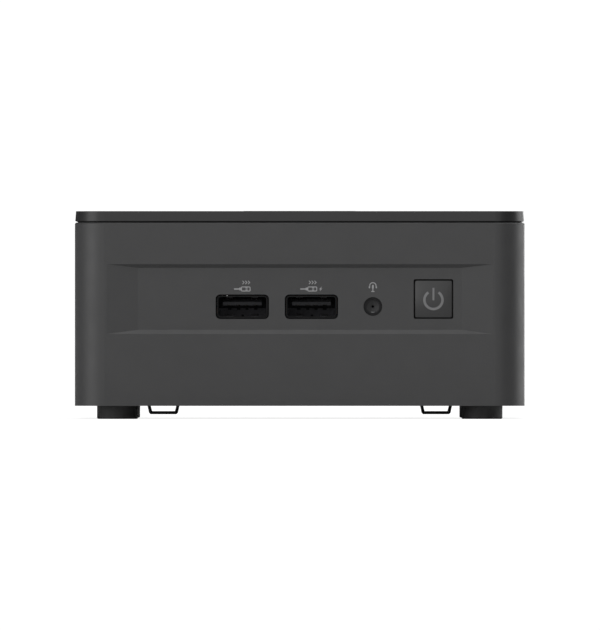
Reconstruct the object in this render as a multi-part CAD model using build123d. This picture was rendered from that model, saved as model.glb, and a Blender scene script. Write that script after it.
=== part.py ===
from build123d import *
import math
import os

# Mini PC with a front socket row, standing on four feet.
# Millimetres, +Z up. The origin is the middle of the footprint on the floor, and the front faces -Y.

# ---- outer box ----
WIDTH = 117.0
DEPTH = 112.0
CORNER_R = 7.7
FOOT_H = 3.42
BODY_TOP = 51.08
GROOVE_H = 0.4
GROOVE_DEPTH = 0.75
LID_H = 2.56
LID_STEP = 0.1
LID_TAPER = 4.16
PAD_SIZE = 29.4
PAD_H = 0.2
SIDE_WALL = 1.6
END_WALL = 2.4
DECK_T = 1.5
TOP_CHAMFER = 0.3
LID_HOLLOW = 1.5
LID_RIM = 4.5
LID_RIB_X = 36.0
LID_RIB_T = 1.2
PAD_R = 2.0
CLIP_X = 30.0
CLIP_Y = 46.0
CLIP = (8.0, 1.5)
CLIP_DROP = 0.4
CLIP_GAP = 0.1
OVERRUN = 1.0

# ---- worked out from the outer box ----
HALF_W = WIDTH / 2
HALF_D = DEPTH / 2
LID_BOTTOM = BODY_TOP + GROOVE_H
LID_TOP = LID_BOTTOM + LID_H
DECK_BOTTOM = BODY_TOP - DECK_T
IN_X = HALF_W - SIDE_WALL
IN_Y = HALF_D - END_WALL
IN_R = CORNER_R - SIDE_WALL

# ---- front band: a shallow flat recess with sloping ends ----
BAND_DEPTH = 0.8
BAND_Y = -HALF_D + BAND_DEPTH
BAND_FLAT_Z = (23.2, 39.3)
BAND_RIM_Z = (22.1, 40.25)
BAND_FLAT_X = 42.1
BAND_RIM_X = 50.2

# ---- front sockets and button ----
USB_X = {"left": -14.94, "right": 3.03}
USB_Z = 29.19
USB_HOLE = (13.85, 6.37)
USB_HOLE_R = 1.2
USB_OUTER = (13.1, 5.72)
USB_INNER = (12.5, 5.12)
USB_LEN = 14.0
USB_CONTACTS = (-3.5, -1.0, 1.0, 3.5)
USB_LOW_NOTCHES = (-3.2, 0.0, 3.2)
USB_R = 0.6
USB_MOUTH_Y = BAND_Y + 0.8
USB_TAB = (2.0, 4.5, 5.0)
USB_TAB_LAP = 0.1
USB_SHELL_R = 0.9
USB_BLOCK = 4.5
USB_TIP = 1.2
USB_TONGUE_W = 10.1
USB_TONGUE_Z = (0.35, 2.0)
USB_LIP = (4.5, 1.26)
USB_UNDERCUT = (12.0, 1.5)
USB_UNDERCUT_Z = -0.3
USB_GROOVE = (1.0, 0.2, 0.45)
USB_NOTCH_W = 1.4
USB_NOTCH_Z = (-3.0, -2.1)
JACK_X = 19.0
JACK_Z = 29.25
JACK_HOLE_R = 2.425
JACK_BARREL_R = 2.3
JACK_BORE_R = 1.8
JACK_BODY = (6.4, 12.0, 3.2)
JACK_BORE_END = 11.5
JACK_STEP = 0.3
JACK_LAP = 0.1
WALL_GAP = 0.5
BUTTON_X = 34.74
BUTTON_Z = 31.2
BUTTON_HOLE = 10.3
BUTTON_SIZE = 9.5
BUTTON_R = 0.4
BUTTON_HOLE_R = 0.5
BUTTON_FLANGE = 11.6
BUTTON_FLANGE_T = 0.8
BUTTON_REST_GAP = 0.3
BUTTON_TRAVEL = 0.6
BUTTON_FACE_Y = BAND_Y - 0.08
BUTTON_CROWN_R = 110.0
PLUNGER_R = 1.6
PLUNGER_Y = (-50.4, -47.0)
PLUNGER_GAP = 0.05
SWITCH_Y = (-49.0, -45.5)
SWITCH = (6.4, 3.0)
SWITCH_SPARE = 0.2
SYMBOL_Z = 30.95
SYMBOL_R = 2.35
SYMBOL_STROKE = 0.65
SYMBOL_GAP_DEG = 34.0
SYMBOL_BAR_W = 0.5
SYMBOL_BAR_Z = (30.87, 34.1)
SYMBOL_DEPTH = 0.5
SYMBOL_REACH = 4.0

# ---- bottom cover, feet and bracket bridges ----
SHEET = 0.8
COVER_GAP = 0.3
COVER_RIM_TOP = 7.2
INTAKE = (22.0, 1.8)
INTAKE_R = 0.85
INTAKE_Y = 40.0
INTAKE_PITCH = 4.0
FOOT_R = 5.35
FOOT_X = 47.43
FOOT_Y = 44.0
FOOT_EDGE = 0.4
FOOT_BORE_R = 3.1
BRIDGE_X = 35.7
BRIDGE_TOP_HALF = 4.2
BRIDGE_BAR_HALF = 3.8
BRIDGE_BAR_Z = 1.06
BRIDGE_WIDTH = 6.0
BRIDGE_TAP_R = 1.65
SCREW_R = 1.45
SCREW_HEAD_R = 2.8
SCREW_HEAD_H = 1.8
SCREW_TOP = 11.5
SCREW_FIT = 0.1
CROSS = (2.6, 0.6, 0.9)

# ---- main board ----
BOARD = 101.6
BOARD_T = 1.6
BOARD_BOTTOM = 24.4
BOARD_TOP = BOARD_BOTTOM + BOARD_T
POST_R = 3.2
POST_REAR_Y = 30.0
STANDOFF_FLATS = 5.5
STANDOFF_BOTTOM = 5.0
STUD_TOP = 30.0
BOLT_HEAD = 2.0

# ---- drive ----
DRIVE = (100.2, 69.85, 7.0)
DRIVE_Z = 5.3
BAY_HALF_X = 45.0
BAY_Y = 35.2
BAY_TOP = 12.6
DRIVE_HOLE_X = 38.0
DRIVE_HOLE_Z = 8.3
DRIVE_HOLE_DEEP = 2.4
DRIVE_R = 1.5
DRIVE_SCREW_IN = 2.0
DRIVE_SCREW_HEAD = (2.6, 1.2)
BAY_WINDOW = (58.0, 50.0)
BAY_WINDOW_R = 4.0
BAY_RELIEF = 9.0

# ---- drive cable and header ----
HEADER_X = 37.0
HEADER_Y = -8.0
HEADER = (14.0, 12.0, 4.4)
HEADER_WALL = 1.0
PLUG_GAP = 0.2
PLUG_Z = (18.5, 23.0)
CABLE_T = 0.5
CABLE_W = 10.0
CABLE_X = 52.6
CABLE_Z = 15.6
CABLE_SOCKET = (18.0, 4.5)
CABLE_SOCKET_WALL = 1.2

# ---- cards under the board ----
MODULE_Z = (16.4, 20.6)
MODULE_X = 33.8
MODULE_Y = (9.2, 39.2)
MODULE_T = 1.2
MODULE_CHIP = (11.0, 0.9)
MODULE_CHIP_Y = (16.0, 27.0)
MODULE_CHIP_PITCH = 16.0
MEMORY_X = 36.0
MEMORY_Y = (37.0, 42.0)
MEMORY_LOW = 15.6
MEMORY_ARM_X = (34.9, 37.0)
MEMORY_ARM_Y = (14.0, 37.5)
MEMORY_SLOT_X = 34.8
MEMORY_SLOT_Y = (36.0, 39.2)
CARD_W = 20.4
CARD_Z = (21.0, 21.8)
CARD_NOTCH_R = 2.0
CARD_CHIP_LOW = 19.8
CARD_SOCKET = (6.0, 22.0)
CARD_SOCKET_LOW = 19.9
CARD_SLOT_DEEP = 2.6
CARD_SCREW_HEAD = (2.6, 0.6)
CARD_POST_R = 1.9
SSD_Y = -33.0
SSD_X = (-41.0, 39.6)
SSD_CHIP_W = 12.0
SSD_CHIPS = ((-20.0, 9.0), (2.0, 9.0), (24.0, 5.5))
SSD_SOCKET_X = 37.0
WIFI_Y = -8.0
WIFI_X = (-42.6, -12.0)
WIFI_CAN_X = (-38.0, -15.0)
WIFI_CAN_W = 17.0
WIFI_CAN_LOW = 19.4
WIFI_SOCKET_X = -40.0
CELL_X = 9.0
CELL_Y = -7.0
CELL_R = 10.0
CELL_H = 3.2

# ---- antennas and their leads ----
ANTENNA_T = 0.5
ANTENNA_Y = (-42.0, -18.0)
ANTENNA_Z = (11.0, 19.0)
LEAD_R = 0.5
LEAD_BEND_R = 1.4
LEAD_START = (-30.0, 16.0)
LEAD_X = 53.0
LEAD_LANE = (-20.8, 20.2)
LEAD_END_X = {"left": -34.0, "right": -20.0}

# ---- rear; left and right are as seen from behind ----
REAR_OPEN_X = 49.6
REAR_OPEN_Z = (9.0, 48.5)
REAR_SPLIT_Z = 24.0
REAR_PLATE_X = 50.8
PORT_GAP = 0.3
PORT_MOUTH_Y = IN_Y + 0.6
REAR_VENTS = 19
REAR_VENT_PITCH = 4.0
REAR_VENT = (2.0, 4.6)
REAR_VENT_R = 0.9
REAR_VENT_Z = 45.7
REAR_OPEN_R = 2.0
BLANK_GAP = 0.8
BLANK_T = 1.2
BLANK_RIB = (92.0, 0.5, 1.0)
BLANK_RIB_INSET = (4.5, 4.0)
BLANK_GRIP = (16.0, 4.0)
BLANK_GRIP_R = 1.9
BLANK_GRIP_DEEP = 0.6
BLANK_GRIP_RISE = 9.0
DC_X = 43.5
DC_BODY = (9.5, 13.0, 11.0)
DC_BORE_R = 2.8
DC_PIN_R = 1.25
DC_DEPTH = 9.5
DC_PIN_BACK = 1.0
HDMI_X = {"left": 28.5, "right": 11.5}
HDMI_BODY = (15.2, 11.5, 6.2)
HDMI_MOUTH = ((-5.2, 0.8), (5.2, 0.8), (7.0, 2.6), (7.0, 5.4), (-7.0, 5.4), (-7.0, 2.6))
HDMI_DEPTH = 9.0
HDMI_TONGUE = (11.0, 1.5, 9.5)
HDMI_TONGUE_Z = (2.9, 4.0)
USB_C_X = {"left": -2.6, "right": -13.0}
USB_C_BODY = (9.2, 8.0, 3.4)
USB_C_MOUTH = (8.4, 2.6)
USB_C_MOUTH_R = 1.28
USB_C_DEPTH = 6.5
USB_C_TONGUE = (6.6, 0.8, 0.7)
LAN_X = -27.3
LAN_BODY = (16.0, 15.0, 13.5)
LAN_MOUTH = (11.7, 6.8, 11.0)
LAN_FLOOR = 3.0
LAN_LATCH = ((6.0, 1.6), (3.2, 2.9))
LAN_PINS = 8
LAN_PIN_PITCH = 1.02
LAN_PIN = (0.4, 1.0, 3.5)
STACK_X = -42.4
STACK_BODY = (13.2, 15.0, 15.6)
STACK_LEVELS = (3.9, 11.7)

# ---- sides ----
GRILLE_Y = -8.0
GRILLE_Z = 40.0
GRILLE_HOLE = (56.0, 10.0)
GRILLE_HOLE_R = 1.5
GRILLE_PLATE = (60.0, 13.0)
GRILLE_PLATE_R = 2.0
GRILLE_SLOTS = 13
GRILLE_PITCH = 4.2
GRILLE_SLOT = (2.4, 9.0)
GRILLE_SLOT_R = 1.1
LOCK_Y = 37.0
LOCK_Z = (37.98, 47.35)
LOCK_LEN = 16.0
LOCK_PROUD = 0.17
LOCK_POCKET = 0.8
LOCK_SLOT = (7.0, 3.0)

# ---- cooling ----
CPU_Y = -8.0
CPU = (46.0, 24.0, 1.0)
CPU_DIES = ((-9.0, 18.0, 12.0), (11.0, 10.0, 9.0))
DIE_H = 0.4
COLD_PLATE = (44.0, 40.0, 1.6)
COLD_PLATE_R = 2.0
COLD_SCREW_X = 19.5
COLD_SCREW_Y = 17.0
COLD_SCREW_R = 1.0
COLD_SCREW_HEAD = (1.9, 1.4)
INDUCTOR = (7.0, 7.0, 3.2)
INDUCTOR_ROW = (-30.0, 31.0, 9.0, 5)
CAPACITOR = (3.0, 5.5)
CAPACITOR_ROW = (-26.0, -31.0, 8.5, 4)
PIPE_R = 2.0
PIPE_BEND_R = 8.0
PIPE_Z = BOARD_TOP + CPU[2] + DIE_H + COLD_PLATE[2] + PIPE_R
PIPE_REAR_Z = 40.9
PIPE_CORNERS = ((36.5, -10.5, 50.0), (31.5, -5.0, 45.0))
PIPE_START_X = -16.0
PIPE_END_X = -16.0
PIPE_RISE_Y = 24.0
FIN_X = (-33.0, 36.5)
FIN_Y = (39.2, 52.4)
FIN_Z = (42.9, 48.4)
FIN_T = 0.4
FIN_COUNT = 30
FIN_PLATE = 0.5
FAN_X = -8.0
FAN_Y = -8.0
FAN_CAVITY_R = 33.0
FAN_WALL = 1.6
FAN_BOTTOM = 38.0
FAN_FLOOR = 39.0
FAN_COVER_Z = 46.8
FAN_TOP = 47.6
FAN_END_Y = 38.6
FAN_INLET_R = 20.0
ROTOR_R = 28.0
ROTOR_Z = 39.6
ROTOR_TOP = 45.8
HUB_R = 11.0
HUB_CUP_R = 9.6
BLADE_COUNT = 21
BLADE_IN_R = 17.0
BLADE_T = 0.8
BLADE_LEAN = 35.0
BLADE_SHARE = 0.85
BLADE_INSET = 0.4
HUB_ROOF = 1.0
MOTOR_R = 9.0
MOTOR_CLEAR = 1.6
MOTOR_BASE = 0.3
SHAFT_END = (0.6, 0.5)
FAN_LEAD_R = 0.9
FAN_LEAD_BEND_R = 1.3
FAN_LEAD_OUT = 2.8
FAN_LEAD_Z = (41.0, 29.0)
FAN_PLUG = (5.0, 6.0, 5.0)
FAN_PLUG_X = 2.0
SHAFT_R = 1.0
SHAFT_FIT = 0.05

os.makedirs("parts", exist_ok=True)


def save(name, *solids):
    """Writes one sub-part, made of one solid or of several separate ones."""
    shape = solids[0] if len(solids) == 1 else Compound(list(solids))
    export_step(shape, f"parts/{name}.step")


def span(x, y, z):
    """A block between two limits on each axis."""
    size = [high - low for low, high in (x, y, z)]
    middle = [(high + low) / 2 for low, high in (x, y, z)]
    return Pos(*middle) * Box(*size)


def about(x, y, z, size):
    """A block centred on x and y, standing on z."""
    return Pos(x, y, z + size[2] / 2) * Box(*size)


def rod_z(x, y, z, radius):
    """A round rod between two heights."""
    return Pos(x, y, (z[0] + z[1]) / 2) * Cylinder(radius, z[1] - z[0])


def rod_y(x, z, y, radius):
    """A round rod between two depths."""
    return Pos(x, (y[0] + y[1]) / 2, z) * Rot(90, 0, 0) * Cylinder(radius, y[1] - y[0])


def rounded_z(x, y, z, size, radius):
    """A plate with rounded corners in plan, between two heights."""
    return Pos(x, y, z[0]) * extrude(RectangleRounded(*size, radius), z[1] - z[0])


def rounded_y(x, z, y, size, radius):
    """A plate with rounded corners seen from the front, between two depths."""
    face = Plane.XZ * RectangleRounded(*size, radius)
    return Pos(x, y[1], z) * extrude(face, y[1] - y[0])


def corners(x, y):
    """The four places mirrored about both middle planes."""
    return [(sx * x, sy * y) for sy in (-1, 1) for sx in (-1, 1)]


def tube(points, radius, bend):
    """A round rod along a route of straight runs and tangent arcs."""
    path = FilletPolyline(*points, radius=bend)
    return sweep((path ^ 0) * Circle(radius), path=path)


# ---- bottom cover and what stands on it ----
def bridge(x):
    """A strap lanced out of the sheet and formed down, with a tapped hole for a bracket screw."""
    drop = SHEET * 0.5
    outer = [(-BRIDGE_TOP_HALF, FOOT_H), (-BRIDGE_BAR_HALF, BRIDGE_BAR_Z + drop)]
    outer += [(-BRIDGE_BAR_HALF + drop, BRIDGE_BAR_Z), (BRIDGE_BAR_HALF - drop, BRIDGE_BAR_Z)]
    outer += [(BRIDGE_BAR_HALF, BRIDGE_BAR_Z + drop), (BRIDGE_TOP_HALF, FOOT_H)]
    bar_top = BRIDGE_BAR_Z + SHEET
    inner = [(-BRIDGE_TOP_HALF + SHEET, FOOT_H), (-BRIDGE_BAR_HALF + SHEET, bar_top)]
    inner += [(BRIDGE_BAR_HALF - SHEET, bar_top), (BRIDGE_TOP_HALF - SHEET, FOOT_H)]
    face = Polygon(*outer, align=None) - Polygon(*inner, align=None)
    strap = Pos(x, BRIDGE_WIDTH / 2, 0) * extrude(Plane.XZ * face, BRIDGE_WIDTH)
    return strap - rod_z(x, 0, (0, FOOT_H), BRIDGE_TAP_R)


def bottom_cover():
    """A shallow sheet-steel tray with intake slots, screw holes and the two bridges."""
    half_x = IN_X - COVER_GAP
    half_y = IN_Y - COVER_GAP
    plan = (2 * half_x, 2 * half_y)
    tray = rounded_z(0, 0, (FOOT_H, COVER_RIM_TOP), plan, IN_R - COVER_GAP)
    hollow = (plan[0] - 2 * SHEET, plan[1] - 2 * SHEET)
    tray -= rounded_z(0, 0, (FOOT_H + SHEET, COVER_RIM_TOP + OVERRUN), hollow, IN_R - COVER_GAP - SHEET)
    for x, y in corners(FOOT_X, FOOT_Y):
        tray -= rod_z(x, y, (0, COVER_RIM_TOP), SCREW_R + SCREW_FIT)
    for row in (-1, 0, 1):
        for side in (-1, 1):
            y = side * (INTAKE_Y + row * INTAKE_PITCH)
            tray -= rounded_z(0, y, (0, COVER_RIM_TOP), INTAKE, INTAKE_R)
    for x in (-BRIDGE_X, BRIDGE_X):
        window = BRIDGE_TOP_HALF - SHEET
        tray -= span((x - window, x + window), (-BRIDGE_WIDTH / 2, BRIDGE_WIDTH / 2), (0, COVER_RIM_TOP))
        tray += bridge(x)
    return tray


def foot(x, y):
    """A round rubber foot with a bore that hides the cover screw's head."""
    body = rod_z(x, y, (0, FOOT_H), FOOT_R)
    low_edge = body.edges().sort_by(Axis.Z)[0]
    body = fillet(low_edge, FOOT_EDGE)
    return body - rod_z(x, y, (0, FOOT_H), FOOT_BORE_R)


def captive_screw(x, y):
    """A cross-head screw under the cover, reaching up into a stand-off."""
    head = rod_z(x, y, (FOOT_H - SCREW_HEAD_H, FOOT_H), SCREW_HEAD_R)
    screw = head + rod_z(x, y, (FOOT_H, SCREW_TOP), SCREW_R)
    long, wide, deep = CROSS
    for size in ((long, wide), (wide, long)):
        screw -= about(x, y, FOOT_H - SCREW_HEAD_H, (*size, deep))
    return screw


def drive_bay():
    """A channel for the drive, welded to the cover."""
    base_top = FOOT_H + 2 * SHEET
    outer = BAY_Y + SHEET
    bay = span((-BAY_HALF_X, BAY_HALF_X), (-outer, outer), (FOOT_H + SHEET, BAY_TOP))
    bay -= span((-BAY_HALF_X, BAY_HALF_X), (-BAY_Y, BAY_Y), (base_top, BAY_TOP))
    bay -= rounded_z(0, 0, (FOOT_H, base_top), BAY_WINDOW, BAY_WINDOW_R)
    for x in (-BRIDGE_X, BRIDGE_X):
        bay -= about(x, 0, FOOT_H, (BAY_RELIEF, BAY_RELIEF, 2 * SHEET))
    for x in (-DRIVE_HOLE_X, DRIVE_HOLE_X):
        bay -= rod_y(x, DRIVE_HOLE_Z, (-outer, outer), SCREW_R)
    return bay


def drive():
    """The 2.5-inch drive with its blind side holes and connector notch."""
    body = Pos(0, 0, DRIVE_Z + DRIVE[2] / 2) * Box(*DRIVE)
    body = fillet(body.edges().filter_by(Axis.Z), DRIVE_R)
    depth = DRIVE_HOLE_DEEP
    half = DRIVE[1] / 2
    for x in (-DRIVE_HOLE_X, DRIVE_HOLE_X):
        body -= rod_y(x, DRIVE_HOLE_Z, (-half, -half + depth), SCREW_R)
        body -= rod_y(x, DRIVE_HOLE_Z, (half - depth, half), SCREW_R)
    return body


def drive_screw(x, side):
    """One short screw through the bay wall into the drive."""
    inner = DRIVE[1] / 2 - DRIVE_SCREW_IN
    outer = BAY_Y + SHEET
    head_r, head = DRIVE_SCREW_HEAD
    shank = rod_y(x, DRIVE_HOLE_Z, (inner, outer), SCREW_R)
    screw = shank + rod_y(x, DRIVE_HOLE_Z, (outer, outer + head), head_r)
    return screw if side > 0 else mirror(screw, Plane.XZ)


def drive_cable():
    """A flat cable that rises beside the drive and turns up into its plug."""
    width, tall = CABLE_SOCKET
    start_z = DRIVE_Z + tall
    x = (DRIVE[0] / 2, CABLE_X + CABLE_SOCKET_WALL)
    socket = span(x, (HEADER_Y - width / 2, HEADER_Y + width / 2), (DRIVE_Z, start_z))
    route = [(CABLE_X, 0, start_z), (CABLE_X, 0, CABLE_Z), (HEADER_X, 0, CABLE_Z), (HEADER_X, 0, PLUG_Z[0])]
    middle = Polyline(*[(x, z) for x, _, z in route])
    band = extrude(Plane.XZ * trace(middle, CABLE_T), CABLE_W)
    return socket + Pos(0, HEADER_Y + CABLE_W / 2, 0) * band


def drive_cable_plug():
    """The plug that sits in the board's header and leaves it downwards."""
    inside = 2 * (HEADER_WALL + PLUG_GAP)
    size = (HEADER[0] - inside, HEADER[1] - inside, PLUG_Z[1] - PLUG_Z[0])
    return about(HEADER_X, HEADER_Y, PLUG_Z[0], size)


# ---- outer shell, lid and side pieces ----
def band_cutter():
    """The front recess: a plan wedge crossed with a side wedge."""
    front = -HALF_D
    ahead = front - OVERRUN
    plan = [(-BAND_RIM_X, ahead), (BAND_RIM_X, ahead), (BAND_RIM_X, front)]
    plan += [(BAND_FLAT_X, BAND_Y), (-BAND_FLAT_X, BAND_Y), (-BAND_RIM_X, front)]
    low, high = BAND_RIM_Z
    wedge = Pos(0, 0, low) * extrude(Polygon(*plan, align=None), high - low)
    side = [(ahead, low), (front, low), (BAND_Y, BAND_FLAT_Z[0])]
    side += [(BAND_Y, BAND_FLAT_Z[1]), (front, high), (ahead, high)]
    profile = Pos(-HALF_W, 0, 0) * extrude(Plane.YZ * Polygon(*side, align=None), WIDTH)
    return wedge & profile


def front_holes():
    """The openings for the two sockets, the jack and the power button."""
    depth = (-HALF_D - OVERRUN, -IN_Y + OVERRUN)
    holes = [rounded_y(x, USB_Z, depth, USB_HOLE, USB_HOLE_R) for x in USB_X.values()]
    holes.append(rod_y(JACK_X, JACK_Z, depth, JACK_HOLE_R))
    holes.append(rounded_y(BUTTON_X, BUTTON_Z, depth, (BUTTON_HOLE, BUTTON_HOLE), BUTTON_HOLE_R))
    return holes


def clip_places():
    """Where the lid's four clips pass the deck."""
    return corners(CLIP_X, CLIP_Y)


def post_places():
    """Where the deck's four posts reach down to the board."""
    return [(side * FOOT_X, y) for y in (-FOOT_Y, POST_REAR_Y) for side in (-1, 1)]


def chassis_shell():
    """The moulded shell: a tube of four walls with the front recess and every outer opening."""
    body = rounded_z(0, 0, (FOOT_H, BODY_TOP), (WIDTH, DEPTH), CORNER_R)
    body = chamfer(body.faces().sort_by(Axis.Z)[-1].edges(), TOP_CHAMFER)
    body -= rounded_z(0, 0, (FOOT_H - OVERRUN, BODY_TOP + OVERRUN), (2 * IN_X, 2 * IN_Y), IN_R)
    body -= band_cutter()
    for hole in front_holes():
        body -= hole
    rear_size = (2 * REAR_OPEN_X, REAR_OPEN_Z[1] - REAR_OPEN_Z[0])
    rear_z = sum(REAR_OPEN_Z) / 2
    body -= rounded_y(0, rear_z, (IN_Y - OVERRUN, HALF_D + OVERRUN), rear_size, REAR_OPEN_R)
    side_hole = Plane.YZ * RectangleRounded(*GRILLE_HOLE, GRILLE_HOLE_R)
    body -= Pos(-HALF_W - OVERRUN, GRILLE_Y, GRILLE_Z) * extrude(side_hole, WIDTH + 2 * OVERRUN)
    lock_mid = sum(LOCK_Z) / 2
    pocket_x = (HALF_W - LOCK_POCKET, HALF_W + OVERRUN)
    lock_y = (LOCK_Y - LOCK_LEN / 2, LOCK_Y + LOCK_LEN / 2)
    body -= span(pocket_x, lock_y, LOCK_Z)
    slot_y = (LOCK_Y - LOCK_SLOT[0] / 2, LOCK_Y + LOCK_SLOT[0] / 2)
    slot_z = (lock_mid - LOCK_SLOT[1] / 2, lock_mid + LOCK_SLOT[1] / 2)
    return body - span((IN_X - OVERRUN, HALF_W + OVERRUN), slot_y, slot_z)


def inner_frame():
    """The dark frame in the shell's top: a deck with a thin flange over the walls, and four posts."""
    frame = rounded_z(0, 0, (DECK_BOTTOM, BODY_TOP), (2 * IN_X, 2 * IN_Y), IN_R)
    step = 2 * GROOVE_DEPTH
    flange = (WIDTH - step, DEPTH - step)
    frame += rounded_z(0, 0, (BODY_TOP, LID_BOTTOM), flange, CORNER_R - GROOVE_DEPTH)
    for x, y in clip_places():
        hole = [size + 2 * CLIP_GAP for size in CLIP]
        frame -= about(x, y, DECK_BOTTOM - OVERRUN, (*hole, DECK_T + GROOVE_H + 2 * OVERRUN))
    for x, y in post_places():
        frame += rod_z(x, y, (BOARD_TOP, DECK_BOTTOM), POST_R)
        frame -= rod_z(x, y, (BOARD_TOP, STUD_TOP + OVERRUN), SCREW_R)
    return frame


def top_lid():
    """The clip-on lid: a hollow plate with slightly leaning sides and a plain raised pad."""
    outline = RectangleRounded(WIDTH - 2 * LID_STEP, DEPTH - 2 * LID_STEP, CORNER_R - LID_STEP)
    plate = Pos(0, 0, LID_BOTTOM) * extrude(outline, LID_H, taper=LID_TAPER)
    plate += rounded_z(0, 0, (LID_TOP, LID_TOP + PAD_H), (PAD_SIZE, PAD_SIZE), PAD_R)
    hollow_top = LID_BOTTOM + LID_HOLLOW
    hollow = (WIDTH - 2 * LID_RIM, DEPTH - 2 * LID_RIM)
    plate -= rounded_z(0, 0, (LID_BOTTOM - OVERRUN, hollow_top), hollow, CORNER_R - LID_RIM)
    rib_y = (LID_RIM - HALF_D, HALF_D - LID_RIM)
    for x in (-LID_RIB_X, 0, LID_RIB_X):
        plate += span((x - LID_RIB_T / 2, x + LID_RIB_T / 2), rib_y, (LID_BOTTOM, hollow_top))
    clip_low = DECK_BOTTOM - CLIP_DROP
    for x, y in clip_places():
        plate += about(x, y, clip_low, (*CLIP, hollow_top - clip_low))
    return plate


def side_grille(side):
    """A thin plate with upright slots behind the shell's side opening."""
    plate = Plane.YZ * RectangleRounded(*GRILLE_PLATE, GRILLE_PLATE_R)
    grille = Pos(IN_X - SHEET, GRILLE_Y, GRILLE_Z) * extrude(plate, SHEET)
    cutter = extrude(Plane.YZ * RectangleRounded(*GRILLE_SLOT, GRILLE_SLOT_R), 3 * SHEET)
    for number in range(GRILLE_SLOTS):
        y = GRILLE_Y + (number - (GRILLE_SLOTS - 1) / 2) * GRILLE_PITCH
        grille -= Pos(IN_X - 2 * SHEET, y, GRILLE_Z) * cutter
    return grille if side > 0 else mirror(grille, Plane.YZ)


def lock_slot_plate():
    """A small steel plate, slightly proud of the right side, with the lock slot."""
    y = (LOCK_Y - LOCK_LEN / 2, LOCK_Y + LOCK_LEN / 2)
    plate = span((HALF_W - LOCK_POCKET, HALF_W + LOCK_PROUD), y, LOCK_Z)
    slot_y = (LOCK_Y - LOCK_SLOT[0] / 2, LOCK_Y + LOCK_SLOT[0] / 2)
    middle = sum(LOCK_Z) / 2
    slot_z = (middle - LOCK_SLOT[1] / 2, middle + LOCK_SLOT[1] / 2)
    return plate - span((IN_X - OVERRUN, HALF_W + OVERRUN), slot_y, slot_z)


# ---- board and front pieces ----
def main_board():
    """The bare board, with holes for the stand-offs and the cold-plate screws."""
    board = about(0, 0, BOARD_BOTTOM, (BOARD, BOARD, BOARD_T))
    for x, y in corners(FOOT_X, FOOT_Y) + post_places()[2:]:
        board -= rod_z(x, y, (BOARD_BOTTOM, BOARD_TOP), SCREW_R)
    for x, y in cold_plate_holes():
        board -= rod_z(x, y, (BOARD_BOTTOM, BOARD_TOP), COLD_SCREW_R)
    return board


def hex_stud(x, y, low, stud_top):
    """A hexagonal bar under the board with a stud up through it."""
    hexagon = RegularPolygon(STANDOFF_FLATS / 2, 6, major_radius=False)
    body = Pos(x, y, low) * extrude(hexagon, BOARD_BOTTOM - low)
    return body + rod_z(x, y, (BOARD_BOTTOM, stud_top), SCREW_R)


def board_fasteners():
    """Four stand-offs with tapped holes for the cover screws, and two hexagon-head bolts."""
    pieces = []
    for x, y in corners(FOOT_X, FOOT_Y):
        standoff = hex_stud(x, y, STANDOFF_BOTTOM, STUD_TOP if y < 0 else BOARD_TOP)
        pieces.append(standoff - rod_z(x, y, (STANDOFF_BOTTOM, SCREW_TOP + BOLT_HEAD), SCREW_R + SCREW_FIT))
    pieces += [hex_stud(x, y, BOARD_BOTTOM - BOLT_HEAD, STUD_TOP) for x, y in post_places()[2:]]
    return pieces


def usb_shell(x, z, mouth_y, facing):
    """The formed metal shell of a USB-A socket, with two tabs down to the board."""
    rear = (mouth_y, mouth_y + USB_LEN) if facing < 0 else (mouth_y - USB_LEN, mouth_y)
    shell = rounded_y(x, z, rear, USB_OUTER, USB_SHELL_R)
    shell -= rounded_y(x, z, rear, USB_INNER, USB_R)
    bottom = z - USB_OUTER[1] / 2
    width, out, inset = USB_TAB
    for side in (-1, 1):
        tab_x = (x + side * out - width / 2, x + side * out + width / 2)
        shell += span(tab_x, (rear[0] + inset, rear[1] - inset), (BOARD_TOP, bottom + USB_TAB_LAP))
    return shell


def usb_tongue(x, z, mouth_y, facing):
    """The plastic block inside a USB-A socket, with its stepped tongue and contact grooves."""
    def across(width, middle=0.0):
        return (x + middle - width / 2, x + middle + width / 2)

    def inward(start, reach):
        return tuple(sorted((start, start - facing * reach)))

    back = mouth_y - facing * USB_LEN
    wall = back + facing * USB_BLOCK
    tip = mouth_y - facing * USB_TIP
    run = tuple(sorted((tip, wall)))
    low, high = USB_TONGUE_Z
    step, step_z = USB_LIP
    block = rounded_y(x, z, inward(wall, USB_BLOCK), USB_INNER, USB_R)
    tongue = span(across(USB_TONGUE_W), run, (z + low, z + high))
    tongue -= span(across(USB_TONGUE_W), inward(tip, step), (z + step_z, z + high))
    piece = block + tongue
    slot_w, slot_deep = USB_UNDERCUT
    under = inward(wall, slot_deep)
    piece -= span(across(slot_w), under, (z + USB_UNDERCUT_Z, z + low))
    width, deep, drop = USB_GROOVE
    for offset in USB_CONTACTS:
        piece -= span(across(width, offset), run, (z + low, z + low + deep))
        piece -= span(across(width, offset), under, (z + USB_UNDERCUT_Z - drop, z + USB_UNDERCUT_Z))
    for offset in USB_LOW_NOTCHES:
        piece -= span(across(USB_NOTCH_W, offset), under, (z + USB_NOTCH_Z[0], z + USB_NOTCH_Z[1]))
    return piece


def headset_jack():
    """The jack's body on the board and its barrel through the front wall."""
    width, length, above = JACK_BODY
    start = -IN_Y + WALL_GAP
    x = (JACK_X - width / 2, JACK_X + width / 2)
    body = span(x, (start, start + length), (BOARD_TOP, JACK_Z + above))
    body += rod_y(JACK_X, JACK_Z, (BAND_Y + JACK_STEP, start + JACK_LAP), JACK_BARREL_R)
    return body - rod_y(JACK_X, JACK_Z, (BAND_Y, -IN_Y + JACK_BORE_END), JACK_BORE_R)


def crown():
    """The large sphere that rounds the button's face."""
    return Pos(BUTTON_X, BUTTON_FACE_Y + BUTTON_CROWN_R, BUTTON_Z) * Sphere(BUTTON_CROWN_R)


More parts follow.
